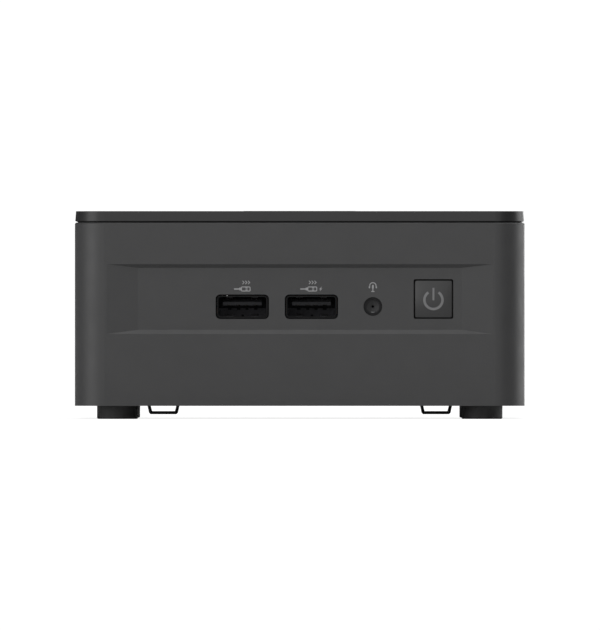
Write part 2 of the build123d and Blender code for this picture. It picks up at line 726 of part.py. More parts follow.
def symbol_prism():
    """The standby mark: an open ring and an upright bar, reaching back from the face."""
    ring = Circle(SYMBOL_R + SYMBOL_STROKE / 2) - Circle(SYMBOL_R - SYMBOL_STROKE / 2)
    reach = SYMBOL_REACH
    half = reach * math.tan(math.radians(SYMBOL_GAP_DEG))
    ring -= Polygon((0, 0), (half, reach), (-half, reach), align=None)
    low, high = SYMBOL_BAR_Z
    bar = Pos(0, (low + high) / 2 - SYMBOL_Z) * Rectangle(SYMBOL_BAR_W, high - low)
    mark = Plane.XZ * (ring + bar)
    back = BUTTON_FACE_Y + SYMBOL_DEPTH
    return [Pos(BUTTON_X, back, SYMBOL_Z) * extrude(face, 2 * SYMBOL_DEPTH) for face in mark.faces()]


def power_symbol():
    """The light guide pieces that show as the mark on the button."""
    pieces = [prism & crown() for prism in symbol_prism()]
    return [piece.solids()[0] for piece in pieces]


def power_button():
    """The square cap, its retaining flange behind the wall and its stem."""
    flange_front = -IN_Y + BUTTON_REST_GAP
    cap_y = (BAND_Y - OVERRUN, flange_front + BUTTON_FLANGE_T / 2)
    cap = rounded_y(BUTTON_X, BUTTON_Z, cap_y, (BUTTON_SIZE, BUTTON_SIZE), BUTTON_R)
    cap = cap & crown()
    flange_y = (flange_front, flange_front + BUTTON_FLANGE_T)
    cap += rounded_y(BUTTON_X, BUTTON_Z, flange_y, (BUTTON_FLANGE, BUTTON_FLANGE), 2 * BUTTON_R)
    cap += rod_y(BUTTON_X, BUTTON_Z, (flange_front, PLUNGER_Y[0] - PLUNGER_GAP), PLUNGER_R)
    for prism in symbol_prism():
        cap -= prism
    return cap


def switch_plunger():
    """The switch's own plunger, which the button's stem pushes."""
    return rod_y(BUTTON_X, BUTTON_Z, PLUNGER_Y, PLUNGER_R)


def power_switch_body():
    """The upright switch on the board, with the plunger's bore."""
    width, above = SWITCH
    body = span((BUTTON_X - width / 2, BUTTON_X + width / 2), SWITCH_Y, (BOARD_TOP, BUTTON_Z + above))
    bore_end = PLUNGER_Y[1] + BUTTON_TRAVEL + SWITCH_SPARE
    return body - rod_y(BUTTON_X, BUTTON_Z, (SWITCH_Y[0] - OVERRUN, bore_end), PLUNGER_R + SHAFT_FIT)


# ---- rear pieces ----
def port_block(x, size):
    """The outer block of a rear socket, standing on the board with its mouth at the rear."""
    y = (PORT_MOUTH_Y - size[1], PORT_MOUTH_Y)
    return span((x - size[0] / 2, x + size[0] / 2), y, (BOARD_TOP, BOARD_TOP + size[2]))


def rear_ports():
    """Every rear socket's place and outer size."""
    ports = [(DC_X, DC_BODY), (LAN_X, LAN_BODY), (STACK_X, STACK_BODY)]
    ports += [(x, HDMI_BODY) for x in HDMI_X.values()]
    ports += [(x, USB_C_BODY) for x in USB_C_X.values()]
    return ports


def rear_io_plate():
    """The sheet-steel plate behind the rear opening, with a hole for every socket and exhaust slots."""
    y = (IN_Y - SHEET, IN_Y)
    plate = span((-REAR_PLATE_X, REAR_PLATE_X), y, (REAR_SPLIT_Z, DECK_BOTTOM))
    for x, size in rear_ports():
        half = size[0] / 2 + PORT_GAP
        hole_z = (BOARD_TOP - PORT_GAP, BOARD_TOP + size[2] + PORT_GAP)
        plate -= span((x - half, x + half), (IN_Y - OVERRUN, IN_Y + OVERRUN), hole_z)
    slot = rounded_y(0, REAR_VENT_Z, (IN_Y - OVERRUN, IN_Y + OVERRUN), REAR_VENT, REAR_VENT_R)
    for number in range(REAR_VENTS):
        plate -= Pos((number - (REAR_VENTS - 1) / 2) * REAR_VENT_PITCH, 0, 0) * slot
    return plate


def expansion_cover():
    """The blank cover over the spare rear opening, with a finger notch and two ribs."""
    low = COVER_RIM_TOP + BLANK_GAP
    plate = span((-REAR_PLATE_X, REAR_PLATE_X), (IN_Y - BLANK_T, IN_Y), (low, REAR_SPLIT_Z))
    width, deep, tall = BLANK_RIB
    for z in (low + BLANK_RIB_INSET[0], REAR_SPLIT_Z - BLANK_RIB_INSET[1]):
        plate += span((-width / 2, width / 2), (IN_Y, IN_Y + deep), (z, z + tall))
    grip_y = (IN_Y - BLANK_GRIP_DEEP, IN_Y + OVERRUN)
    return plate - rounded_y(0, low + BLANK_GRIP_RISE, grip_y, BLANK_GRIP, BLANK_GRIP_R)


def dc_jack():
    """The power inlet for a 5.5 mm barrel plug."""
    body = port_block(DC_X, DC_BODY)
    z = BOARD_TOP + DC_BODY[2] / 2
    return body - rod_y(DC_X, z, (PORT_MOUTH_Y - DC_DEPTH, PORT_MOUTH_Y + OVERRUN), DC_BORE_R)


def dc_jack_pin():
    """The inlet's centre pin."""
    z = BOARD_TOP + DC_BODY[2] / 2
    return rod_y(DC_X, z, (PORT_MOUTH_Y - DC_DEPTH, PORT_MOUTH_Y - DC_PIN_BACK), DC_PIN_R)


def hdmi_port(x):
    """A display socket: a formed shell with chamfered lower corners and a flat tongue."""
    cavity = extrude(Plane.XZ * Polygon(*HDMI_MOUTH, align=None), HDMI_DEPTH)
    body = port_block(x, HDMI_BODY) - Pos(x, PORT_MOUTH_Y, BOARD_TOP) * cavity
    width, start, end = HDMI_TONGUE
    tongue_z = [BOARD_TOP + z for z in HDMI_TONGUE_Z]
    return body + span((x - width / 2, x + width / 2), (PORT_MOUTH_Y - end, PORT_MOUTH_Y - start), tongue_z)


def usb_c_port(x):
    """A USB-C socket: an oval shell and its thin tongue."""
    z = BOARD_TOP + USB_C_BODY[2] / 2
    mouth_y = (PORT_MOUTH_Y - USB_C_DEPTH, PORT_MOUTH_Y + OVERRUN)
    body = port_block(x, USB_C_BODY) - rounded_y(x, z, mouth_y, USB_C_MOUTH, USB_C_MOUTH_R)
    width, start, thick = USB_C_TONGUE
    tongue_y = (PORT_MOUTH_Y - USB_C_DEPTH - WALL_GAP, PORT_MOUTH_Y - start)
    return body + span((x - width / 2, x + width / 2), tongue_y, (z - thick / 2, z + thick / 2))


def network_jack():
    """The network socket: a stepped cavity under the latch and eight contact ribs."""
    wide, high, deep = LAN_MOUTH
    floor = BOARD_TOP + LAN_FLOOR
    roof = floor + high
    y = (PORT_MOUTH_Y - deep, PORT_MOUTH_Y + OVERRUN)
    body = port_block(LAN_X, LAN_BODY) - span((LAN_X - wide / 2, LAN_X + wide / 2), y, (floor, roof))
    for width, rise in LAN_LATCH:
        body -= span((LAN_X - width / 2, LAN_X + width / 2), y, (roof, roof + rise))
    thick, tall, start = LAN_PIN
    for number in range(LAN_PINS):
        x = LAN_X + (number - (LAN_PINS - 1) / 2) * LAN_PIN_PITCH
        body += span((x - thick / 2, x + thick / 2), (y[0], PORT_MOUTH_Y - start), (floor, floor + tall))
    return body


def stack_levels():
    """The middle heights of the two sockets in the rear stack."""
    return [BOARD_TOP + height for height in STACK_LEVELS]


def rear_usb_shell():
    """The metal can round the two stacked rear sockets."""
    body = port_block(STACK_X, STACK_BODY)
    for z in stack_levels():
        body -= rounded_y(STACK_X, z, (PORT_MOUTH_Y - USB_LEN, PORT_MOUTH_Y + OVERRUN), USB_INNER, USB_R)
    return body


# ---- under the board ----
def memory_sockets():
    """Two stacked card sockets: a rear block with two slots and two side arms."""
    z = (MEMORY_LOW, BOARD_BOTTOM)
    body = span((-MEMORY_X, MEMORY_X), MEMORY_Y, z)
    for side in (-1, 1):
        body += span(sorted(side * x for x in MEMORY_ARM_X), MEMORY_ARM_Y, z)
    for low in MODULE_Z:
        body -= span((-MEMORY_SLOT_X, MEMORY_SLOT_X), MEMORY_SLOT_Y, (low, low + MODULE_T))
    return body


def memory_module(z):
    """A memory card with four chips on each side."""
    card = span((-MODULE_X, MODULE_X), MODULE_Y, (z, z + MODULE_T))
    width, thick = MODULE_CHIP
    for number in range(4):
        x = (number - 1.5) * MODULE_CHIP_PITCH
        card += span((x - width / 2, x + width / 2), MODULE_CHIP_Y, (z - thick, z + MODULE_T + thick))
    return card


def card_socket(x, y, facing):
    """A small edge-card socket under the board."""
    length, width = CARD_SOCKET
    half = width / 2
    block_x = sorted((x, x + facing * length))
    slot_x = sorted((x - facing, x + facing * CARD_SLOT_DEEP))
    block = span(block_x, (y - half, y + half), (CARD_SOCKET_LOW, BOARD_BOTTOM))
    return block - span(slot_x, (y - CARD_W / 2, y + CARD_W / 2), CARD_Z)


def small_card(x, y, notch_x):
    """A bare edge card with a half-round notch for its screw at one end."""
    card = span(x, (y - CARD_W / 2, y + CARD_W / 2), CARD_Z)
    return card - rod_z(notch_x, y, CARD_Z, CARD_NOTCH_R)


def ssd_module():
    """The solid-state drive card with two flash chips and a controller."""
    card = small_card(SSD_X, SSD_Y, SSD_X[0])
    chip_y = (SSD_Y - SSD_CHIP_W / 2, SSD_Y + SSD_CHIP_W / 2)
    for x, half in SSD_CHIPS:
        card += span((x - half, x + half), chip_y, (CARD_CHIP_LOW, CARD_Z[0]))
    return card


def wireless_card():
    """The wireless card with its shield can."""
    can_y = (WIFI_Y - WIFI_CAN_W / 2, WIFI_Y + WIFI_CAN_W / 2)
    return small_card(WIFI_X, WIFI_Y, WIFI_X[1]) + span(WIFI_CAN_X, can_y, (WIFI_CAN_LOW, CARD_Z[0]))


def card_screw(x, y):
    """A flat screw with its stand-off, at the free end of a card."""
    head_r, head = CARD_SCREW_HEAD
    low = CARD_Z[0]
    return rod_z(x, y, (low - head, low), head_r) + rod_z(x, y, (low, BOARD_BOTTOM), CARD_POST_R)


def drive_header():
    """The board's shrouded header for the drive cable, open downwards."""
    low = BOARD_BOTTOM - HEADER[2]
    body = about(HEADER_X, HEADER_Y, low, HEADER)
    inner = (HEADER[0] - 2 * HEADER_WALL, HEADER[1] - 2 * HEADER_WALL, HEADER[2] - HEADER_WALL)
    return body - about(HEADER_X, HEADER_Y, low, inner)


def antenna(side):
    """A thin antenna board stuck to the inside of a side wall."""
    return span(sorted((side * (IN_X - ANTENNA_T), side * IN_X)), ANTENNA_Y, ANTENNA_Z)


def antenna_leads():
    """Two coaxial leads from the antennas to the wireless card."""
    start_y, start_z = LEAD_START
    lane_y, lane_z = LEAD_LANE
    can_y = WIFI_Y - WIFI_CAN_W / 2
    leads = []
    for side, end_x in (("left", LEAD_END_X["left"]), ("right", LEAD_END_X["right"])):
        turn = -1 if side == "left" else 1
        edge, x = turn * (IN_X - ANTENNA_T), turn * LEAD_X
        route = [(edge, start_y, start_z), (x, start_y, start_z), (x, start_y, lane_z), (x, lane_y, lane_z)]
        route += [(end_x, lane_y, lane_z), (end_x, can_y, lane_z)]
        leads.append(tube(route, LEAD_R, LEAD_BEND_R))
    return leads


def power_components():
    """Power inductors and capacitors on the upper side of the board."""
    pieces = []
    x, y, pitch, count = INDUCTOR_ROW
    for number in range(count):
        pieces.append(about(x + number * pitch, y, BOARD_TOP, INDUCTOR))
    radius, tall = CAPACITOR
    x, y, pitch, count = CAPACITOR_ROW
    for number in range(count):
        pieces.append(rod_z(x + number * pitch, y, (BOARD_TOP, BOARD_TOP + tall), radius))
    return pieces


# ---- cooling ----
def cpu_package():
    """The processor: a thin carrier with two bare dies."""
    body = about(0, CPU_Y, BOARD_TOP, CPU)
    for x, length, width in CPU_DIES:
        body += about(x, CPU_Y, BOARD_TOP + CPU[2], (length, width, DIE_H))
    return body


def cold_plate_holes():
    """The four screw places of the cold plate."""
    return [(x, CPU_Y + y) for x, y in corners(COLD_SCREW_X, COLD_SCREW_Y)]


def cold_plate():
    """The copper plate on the dies."""
    plate = about(0, CPU_Y, BOARD_TOP + CPU[2] + DIE_H, COLD_PLATE)
    plate = fillet(plate.edges().filter_by(Axis.Z), COLD_PLATE_R)
    for x, y in cold_plate_holes():
        plate -= rod_z(x, y, (BOARD_TOP, PIPE_Z), COLD_SCREW_R)
    return plate


def cold_plate_screw(x, y):
    """A screw that holds the cold plate down to the board."""
    top = PIPE_Z - PIPE_R
    head_r, head = COLD_SCREW_HEAD
    return rod_z(x, y, (BOARD_BOTTOM, top), COLD_SCREW_R) + rod_z(x, y, (top, top + head), head_r)


def heat_pipe(x, start_y, end_y):
    """A pipe from the cold plate, round the blower and back under the fins."""
    route = [(PIPE_START_X, start_y, PIPE_Z), (x, start_y, PIPE_Z), (x, PIPE_RISE_Y, PIPE_Z)]
    route += [(x, end_y, PIPE_REAR_Z), (PIPE_END_X, end_y, PIPE_REAR_Z)]
    return tube(route, PIPE_R, PIPE_BEND_R)


def fin_stack():
    """The exhaust fins between a base plate and a top plate."""
    low, high = FIN_Z
    stack = span(FIN_X, FIN_Y, (low, low + FIN_PLATE)) + span(FIN_X, FIN_Y, (high - FIN_PLATE, high))
    pitch = (FIN_X[1] - FIN_X[0] - FIN_T) / (FIN_COUNT - 1)
    for number in range(FIN_COUNT):
        x = FIN_X[0] + number * pitch
        stack += span((x, x + FIN_T), FIN_Y, FIN_Z)
    return stack


def fan_outline(radius, low, high):
    """The blower's plan: a round volute that runs on into a straight outlet."""
    body = rod_z(FAN_X, FAN_Y, (low, high), radius)
    return body + span((FAN_X - radius, FAN_X + radius), (FAN_Y, FAN_END_Y), (low, high))


def blower_housing():
    """The lower housing: floor, volute wall and an outlet open to the fins."""
    outer = fan_outline(FAN_CAVITY_R + FAN_WALL, FAN_BOTTOM, FAN_COVER_Z)
    cavity = rod_z(FAN_X, FAN_Y, (FAN_FLOOR, FAN_TOP), FAN_CAVITY_R)
    run = (FAN_X - FAN_CAVITY_R, FAN_X + FAN_CAVITY_R)
    cavity += span(run, (FAN_Y, FAN_END_Y - FAN_WALL), (FAN_FLOOR, FAN_TOP))
    cavity += span(run, (FAN_Y, FAN_END_Y + OVERRUN), (FIN_Z[0], FAN_TOP))
    return outer - cavity


def blower_cover():
    """The blower's top plate with its round intake."""
    plate = fan_outline(FAN_CAVITY_R + FAN_WALL, FAN_COVER_Z, FAN_TOP)
    return plate - rod_z(FAN_X, FAN_Y, (FAN_BOTTOM, FAN_TOP + OVERRUN), FAN_INLET_R)


def fan_motor():
    """The fixed motor core with the bearing bore."""
    core = rod_z(FAN_X, FAN_Y, (FAN_FLOOR, ROTOR_TOP - MOTOR_CLEAR), MOTOR_R)
    return core - rod_z(FAN_X, FAN_Y, (FAN_FLOOR + MOTOR_BASE, ROTOR_TOP), SHAFT_R + SHAFT_FIT)


def fan_rotor():
    """The impeller: a hub cup with its shaft, a carrier disc and leaning blades."""
    rotor = rod_z(FAN_X, FAN_Y, (ROTOR_Z, ROTOR_TOP), HUB_R)
    rotor += rod_z(FAN_X, FAN_Y, (ROTOR_Z, ROTOR_Z + BLADE_T), ROTOR_R)
    rotor -= rod_z(FAN_X, FAN_Y, (ROTOR_Z, ROTOR_TOP - HUB_ROOF), HUB_CUP_R)
    length = (ROTOR_R - BLADE_IN_R) / math.cos(math.radians(BLADE_LEAN)) * BLADE_SHARE
    blade_z = (ROTOR_Z + ROTOR_TOP) / 2
    blade = Box(length, BLADE_T, ROTOR_TOP - ROTOR_Z)
    mid_r = (ROTOR_R + BLADE_IN_R) / 2 - BLADE_INSET
    for number in range(BLADE_COUNT):
        turn = Rot(0, 0, number * 360 / BLADE_COUNT)
        rotor += Pos(FAN_X, FAN_Y, blade_z) * turn * Pos(mid_r, 0, 0) * Rot(0, 0, BLADE_LEAN) * blade
    return rotor + rod_z(FAN_X, FAN_Y, (FAN_FLOOR + SHAFT_END[0], ROTOR_TOP - SHAFT_END[1]), SHAFT_R)


def fan_leads():
    """The blower's leads down to the board, with their small plug."""
    wall_x = FAN_X - FAN_CAVITY_R - FAN_WALL
    lead_x, end_x = wall_x - FAN_LEAD_OUT, wall_x + FAN_PLUG_X
    high, low = FAN_LEAD_Z
    route = [(wall_x, FAN_Y, high), (lead_x, FAN_Y, high), (lead_x, FAN_Y, low), (end_x, FAN_Y, low)]
    plug = Pos(end_x + FAN_PLUG[0] / 2, FAN_Y, BOARD_TOP + FAN_PLUG[2] / 2) * Box(*FAN_PLUG)
    return tube(route, FAN_LEAD_R, FAN_LEAD_BEND_R) + plug


# ---- write every sub-part ----
def write_base():
    save("bottom_cover", bottom_cover())
    for x, y in corners(FOOT_X, FOOT_Y):
        name = f"foot_{'front' if y < 0 else 'rear'}_{'left' if x < 0 else 'right'}"
        save(name, foot(x, y))
    save("captive_screws", *[captive_screw(x, y) for x, y in corners(FOOT_X, FOOT_Y)])
    save("drive_bay", drive_bay())
    save("drive", drive())
    save("drive_screws", *[drive_screw(x, s) for x in (-DRIVE_HOLE_X, DRIVE_HOLE_X) for s in (-1, 1)])
    save("drive_cable", drive_cable())
    save("drive_cable_plug", drive_cable_plug())


def write_case():
    save("chassis_shell", chassis_shell())
    save("inner_frame", inner_frame())
    save("top_lid", top_lid())
    save("side_grille_left", side_grille(-1))
    save("side_grille_right", side_grille(1))
    save("lock_slot_plate", lock_slot_plate())
    save("rear_io_plate", rear_io_plate())
    save("expansion_cover", expansion_cover())


def write_front():
    save("main_board", main_board())
    save("board_fasteners", *board_fasteners())
    for side, x in USB_X.items():
        save(f"front_usb_{side}_shell", usb_shell(x, USB_Z, USB_MOUTH_Y, -1))
        save(f"front_usb_{side}_tongue", usb_tongue(x, USB_Z, USB_MOUTH_Y, -1))
    save("headset_jack", headset_jack())
    save("power_button", power_button())
    save("power_symbol", *power_symbol())
    save("switch_plunger", switch_plunger())
    save("power_switch_body", power_switch_body())


def write_rear():
    save("dc_jack", dc_jack())
    save("dc_jack_pin", dc_jack_pin())
    for side, x in HDMI_X.items():
        save(f"hdmi_port_{side}", hdmi_port(x))
    for side, x in USB_C_X.items():
        save(f"usb_c_port_{side}", usb_c_port(x))
    save("network_jack", network_jack())
    save("rear_usb_shell", rear_usb_shell())
    save("rear_usb_tongues", *[usb_tongue(STACK_X, z, PORT_MOUTH_Y, 1) for z in stack_levels()])


def write_under_board():
    save("memory_sockets", memory_sockets())
    for level, z in zip(("lower", "upper"), MODULE_Z):
        save(f"memory_module_{level}", memory_module(z))
    save("ssd_module", ssd_module())
    save("wireless_card", wireless_card())
    save("card_sockets", card_socket(SSD_SOCKET_X, SSD_Y, 1), card_socket(WIFI_SOCKET_X, WIFI_Y, -1))
    save("card_screws", card_screw(SSD_X[0], SSD_Y), card_screw(WIFI_X[1], WIFI_Y))
    save("drive_header", drive_header())
    save("coin_cell", rod_z(CELL_X, CELL_Y, (BOARD_BOTTOM - CELL_H, BOARD_BOTTOM), CELL_R))
    save("antennas", antenna(-1), antenna(1), *antenna_leads())


def write_cooling():
    save("power_components", *power_components())
    save("cpu_package", cpu_package())
    save("cold_plate", cold_plate())
    save("cold_plate_screws", *[cold_plate_screw(x, y) for x, y in cold_plate_holes()])
    save("heat_pipes", *[heat_pipe(*corner) for corner in PIPE_CORNERS])
    save("fin_stack", fin_stack())
    save("blower_housing", blower_housing())
    save("blower_cover", blower_cover())
    save("fan_motor", fan_motor())
    save("fan_rotor", fan_rotor())
    save("fan_leads", fan_leads())


write_base()
write_case()
write_front()
write_rear()
write_under_board()
write_cooling()
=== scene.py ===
"""Finishes, small fittings, printed marks and studio for a square mini PC on four feet."""

import math
import random

import bmesh
import bpy
from bpy.props import FloatProperty, FloatVectorProperty, IntProperty, PointerProperty
from mathutils import Matrix, Vector


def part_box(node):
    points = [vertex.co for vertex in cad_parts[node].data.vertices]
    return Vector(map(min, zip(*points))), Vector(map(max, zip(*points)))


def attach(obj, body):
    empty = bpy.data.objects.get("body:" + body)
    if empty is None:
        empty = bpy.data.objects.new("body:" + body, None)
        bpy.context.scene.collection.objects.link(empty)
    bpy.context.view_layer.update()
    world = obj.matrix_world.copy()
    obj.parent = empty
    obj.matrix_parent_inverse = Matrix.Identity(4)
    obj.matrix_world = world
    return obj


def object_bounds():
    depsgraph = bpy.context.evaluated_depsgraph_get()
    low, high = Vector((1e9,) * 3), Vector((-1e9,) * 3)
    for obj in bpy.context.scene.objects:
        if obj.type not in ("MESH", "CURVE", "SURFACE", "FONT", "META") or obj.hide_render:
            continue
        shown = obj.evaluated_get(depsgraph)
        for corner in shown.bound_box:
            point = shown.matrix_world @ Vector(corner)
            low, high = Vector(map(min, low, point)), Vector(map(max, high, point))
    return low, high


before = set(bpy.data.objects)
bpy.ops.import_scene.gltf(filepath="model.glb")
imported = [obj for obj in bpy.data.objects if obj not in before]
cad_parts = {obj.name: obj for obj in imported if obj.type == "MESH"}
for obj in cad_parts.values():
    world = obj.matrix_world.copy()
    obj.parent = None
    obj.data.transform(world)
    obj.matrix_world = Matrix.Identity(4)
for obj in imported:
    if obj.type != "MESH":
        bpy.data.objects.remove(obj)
CAD_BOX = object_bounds()

bl_info = {
    "name": "Mini PC finishes",
    "version": (1, 0, 0),
    "blender": (4, 5, 0),
    "location": "View3D > Sidebar > Mini PC",
    "description": "Finishes, fittings and marks for a square mini PC, with its studio",
    "category": "Object",
}

MM = 0.001

# Plain colours that have no setting of their own.
ANTENNA_FILM = (0.02, 0.02, 0.02)
BLACK_PLATE = (0.020, 0.020, 0.0204)
BRASS = (0.55, 0.38, 0.14)
CABLE_FILM = (0.02, 0.02, 0.022)
CARD_CHIP = (0.012, 0.012, 0.013)
CAST_ALUMINIUM = (0.33, 0.34, 0.36)
CHIP_BLACK = (0.014, 0.014, 0.015)
COMPONENT_GREY = (0.06, 0.06, 0.065)
# A dark grey in place of gold for the front sockets' contacts: painted shade deep inside the socket.
CONTACT_PAINTED_SHADE = (0.10, 0.095, 0.085)
FIN_ALUMINIUM = (0.62, 0.63, 0.65)
FINGER_BLACK = (0.05, 0.05, 0.052)
LABEL_PAPER = (0.42, 0.42, 0.41)
SLEEVE_GREY = (0.042, 0.042, 0.0428)
STRIPE_GREY = (0.08, 0.08, 0.085)
SWITCH_WHITE = (0.5, 0.5, 0.48)
WHITE = (1.0, 1.0, 1.0, 1.0)

# Factors on a colour setting, for parts that share it but are darker or lighter.
FRAME_SHADE = 0.15
JACK_SHADE = 0.7
LOCK_SHADE = 0.93
PANEL_SHADE = 0.8
REAR_MARK_SHADE = 1.3
SCREW_SHADE = 0.8
SEAT_PAINTED_LIGHT = 6.5
SPRING_SHADE = 0.5
# The seat factor makes a much lighter copy of the socket plastic: painted light on the seat sheets at the
# shaded back of the front sockets.
TONGUE_SHADE = 2.1
TRACK_SHADE = 1.9

# Texture scales along X, Y and Z that draw out a metal's lines along one axis.
LINES_X = (0.2, 1.0, 1.0)
LINES_X_LONG = (0.1, 1.0, 1.0)
LINES_X_LONGEST = (0.05, 1.0, 1.0)
LINES_Y = (1.0, 0.2, 1.0)
LINES_Y_LONG = (1.0, 0.1, 1.0)
LINES_Z = (1.0, 1.0, 0.2)
LINES_Z_SHORT = (1.0, 1.0, 0.3)
NO_LINES = (1.0, 1.0, 1.0)


# ---- user settings ----
LONGEST = 10.0


def length(name, description, value):
    """A length setting in metres, given in millimetres."""
    return FloatProperty(name=name, description=description, default=value * MM, min=0.0,
                         max=LONGEST * MM, unit="LENGTH", precision=5)


def colour(name, description, value):
    """A colour setting."""
    return FloatVectorProperty(name=name, description=description, default=value, size=3,
                               min=0.0, max=1.0, subtype="COLOR")


def number(name, description, value, high=100.0):
    """A plain number setting."""
    return FloatProperty(name=name, description=description, default=value, min=0.0, max=high)


class MiniPcSizes(bpy.types.PropertyGroup):
    """Sizes of the small fittings and marks."""

    ink: length("Ink thickness", "How far a printed mark stands off its panel", 0.015)
    stroke: length("Mark stroke", "Line width of the printed marks", 0.24)
    grain: length("Moulding grain", "Size of the grain on the moulded case", 0.28)
    coat_grain: length("Coating grain", "Size of the grain on the powder-coated steel", 0.35)
    contact: length("Contact width", "Width of one socket contact", 0.8)
    spring: length("Spring width", "Width of one finger in a socket shell", 1.7)
    chip: length("Chip height", "Height of the small board chips", 0.6)


class MiniPcColours(bpy.types.PropertyGroup):
    """Colours of the main finishes."""

    case: colour("Case", "Moulded dark grey case", (0.034, 0.034, 0.0347))
    lid: colour("Lid", "Smooth dark grey lid", (0.021, 0.021, 0.0214))
    button: colour("Button", "Power button cap", (0.035, 0.035, 0.0355))
    mark: colour("Marks", "Printed marks", (0.30, 0.30, 0.305))
    guide: colour("Light guide", "Standby mark in the button", (0.165, 0.165, 0.168))
    rubber: colour("Rubber", "Feet", (0.042, 0.042, 0.042))
    # The coat is set lighter than the steel's own dark tone, partly as painted light on the bottom cover's
    # loops in the shade under the case.
    coat_with_painted_light: colour("Coated steel", "Bottom cover, rear panel and lock plate", (0.055, 0.055, 0.0565))
    socket: colour("Socket black", "Black socket plastic", (0.010, 0.010, 0.011))
    zinc: colour("Zinc", "Bright plated steel", (0.52, 0.53, 0.54))
    copper: colour("Copper", "Cold plate and heat pipes", (0.70, 0.29, 0.16))
    gold: colour("Contact gold", "Socket and card contacts", (0.75, 0.52, 0.20))
    board: colour("Board", "Solder mask of the boards", (0.006, 0.035, 0.022))


class MiniPcStudio(bpy.types.PropertyGroup):
    """Camera and light settings."""

    lens: FloatProperty(name="Lens", description="Focal length of the long lens, in millimetres",
                        default=1500.0, min=50.0, max=3000.0)
    fill: number("Fill", "Brightness of the light that comes from all round", 1.13)
    overhead: number("Overhead", "Power of the overhead softbox, in watts", 2.0, 500.0)
    key: number("Key", "Power of the softbox at the front left, in watts", 1.0, 500.0)
    rim: number("Rim", "Power of the strip light behind the right side, in watts", 0.8, 500.0)
    side: number("Side", "Power of the softbox at the right, in watts", 0.9, 500.0)
    back: number("Back", "Power of the high softbox behind, in watts", 3.0, 500.0)
    seed: IntProperty(name="Seed", description="Start of the small random draws", default=7, min=0)


def sizes():
    """The size settings."""
    return bpy.context.scene.mini_pc_sizes


def colours():
    """The colour settings."""
    return bpy.context.scene.mini_pc_colours


def studio():
    """The camera and light settings."""
    return bpy.context.scene.mini_pc_studio


def times(base, factor):
    """A colour times a factor."""
    return [c * factor for c in base]


# ---- node helpers ----
class Finish:
    """A material being built: a Principled shader and short calls for what feeds it."""

    def __init__(self, name, base, roughness, metallic=0.0, specular=0.5):
        self.material = bpy.data.materials.new(name)
        self.material.use_nodes = True
        self.tree = self.material.node_tree
        self.shader = self.tree.nodes["Principled BSDF"]
        self.base = base
        self.shader.inputs["Base Color"].default_value = (*base, 1.0)
        self.shader.inputs["Roughness"].default_value = roughness
        self.shader.inputs["Metallic"].default_value = metallic
        self.shader.inputs["Specular IOR Level"].default_value = specular
        self.place = self.add("ShaderNodeTexCoord").outputs["Object"]
        self.material.diffuse_color = (*base, 1.0)

    def add(self, kind, **settings):
        """A new node with some of its settings."""
        node = self.tree.nodes.new(kind)
        for key, value in settings.items():
            setattr(node, key, value)
        return node

    def link(self, out, into):
        self.tree.links.new(out, into)

    def stretched(self, factors):
        """Object coordinates scaled by a factor along each axis."""
        node = self.add("ShaderNodeMapping")
        node.inputs["Scale"].default_value = factors
        self.link(self.place, node.inputs["Vector"])
        return node.outputs["Vector"]

    def noise(self, size, detail=2.0, place=None, rough=0.5):
        """Soft noise with features of a given size in metres."""
        node = self.add("ShaderNodeTexNoise")
        node.inputs["Scale"].default_value = 1.0 / size
        node.inputs["Detail"].default_value = detail
        node.inputs["Roughness"].default_value = rough
        self.link(place or self.place, node.inputs["Vector"])
        return node.outputs["Fac"]

    def cells(self, size, feature):
        """Voronoi distance with cells of a given size in metres."""
        node = self.add("ShaderNodeTexVoronoi", feature=feature)
        node.inputs["Scale"].default_value = 1.0 / size
        self.link(self.place, node.inputs["Vector"])
        return node.outputs["Distance"]

    def ranged(self, value, low, high, start=0.25, end=0.75):
        """A value moved from one range to another."""
        node = self.add("ShaderNodeMapRange")
        node.inputs["From Min"].default_value = start
        node.inputs["From Max"].default_value = end
        node.inputs["To Min"].default_value = low
        node.inputs["To Max"].default_value = high
        self.link(value, node.inputs["Value"])
        return node.outputs["Result"]

    def maths(self, operation, first, second):
        """The result of a sum on two values, each a number or a node's output."""
        node = self.add("ShaderNodeMath", operation=operation)
        for slot, value in enumerate((first, second)):
            if isinstance(value, (int, float)):
                node.inputs[slot].default_value = value
            else:
                self.link(value, node.inputs[slot])
        return node.outputs["Value"]

    def vary_roughness(self, value, low, high, start=0.3, end=0.7):
        """A roughness between two levels, set by a value."""
        self.link(self.ranged(value, low, high, start, end), self.shader.inputs["Roughness"])

    def vary_colour(self, value, dark, light):
        """The base colour times two factors, mixed by a value."""
        self.two_colours(value, times(self.base, dark), times(self.base, light))

    def two_colours(self, value, first, second, start=0.3, end=0.7):
        """Two colours, mixed by a value."""
        node = self.add("ShaderNodeMix", data_type="RGBA")
        for socket in node.inputs:
            if socket.type == "RGBA":
                socket.default_value = (*(first if socket.name == "A" else second), 1.0)
        self.link(self.ranged(value, 0.0, 1.0, start, end), node.inputs["Factor"])
        result = next(s for s in node.outputs if s.type == "RGBA")
        self.link(result, self.shader.inputs["Base Color"])

    def bump(self, value, height, strength=1.0):
        """A bump of a given height in metres, laid over any bump already there."""
        node = self.add("ShaderNodeBump")
        node.inputs["Distance"].default_value = height
        node.inputs["Strength"].default_value = strength
        self.link(value, node.inputs["Height"])
        old = self.shader.inputs["Normal"]
        if old.is_linked:
            self.link(old.links[0].from_socket, node.inputs["Normal"])
        self.link(node.outputs["Normal"], self.shader.inputs["Normal"])


def paint(material, *nodes):
    """Gives CAD nodes a finish by filling their material slots."""
    for name in nodes:
        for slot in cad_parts[name].material_slots:
            slot.material = material


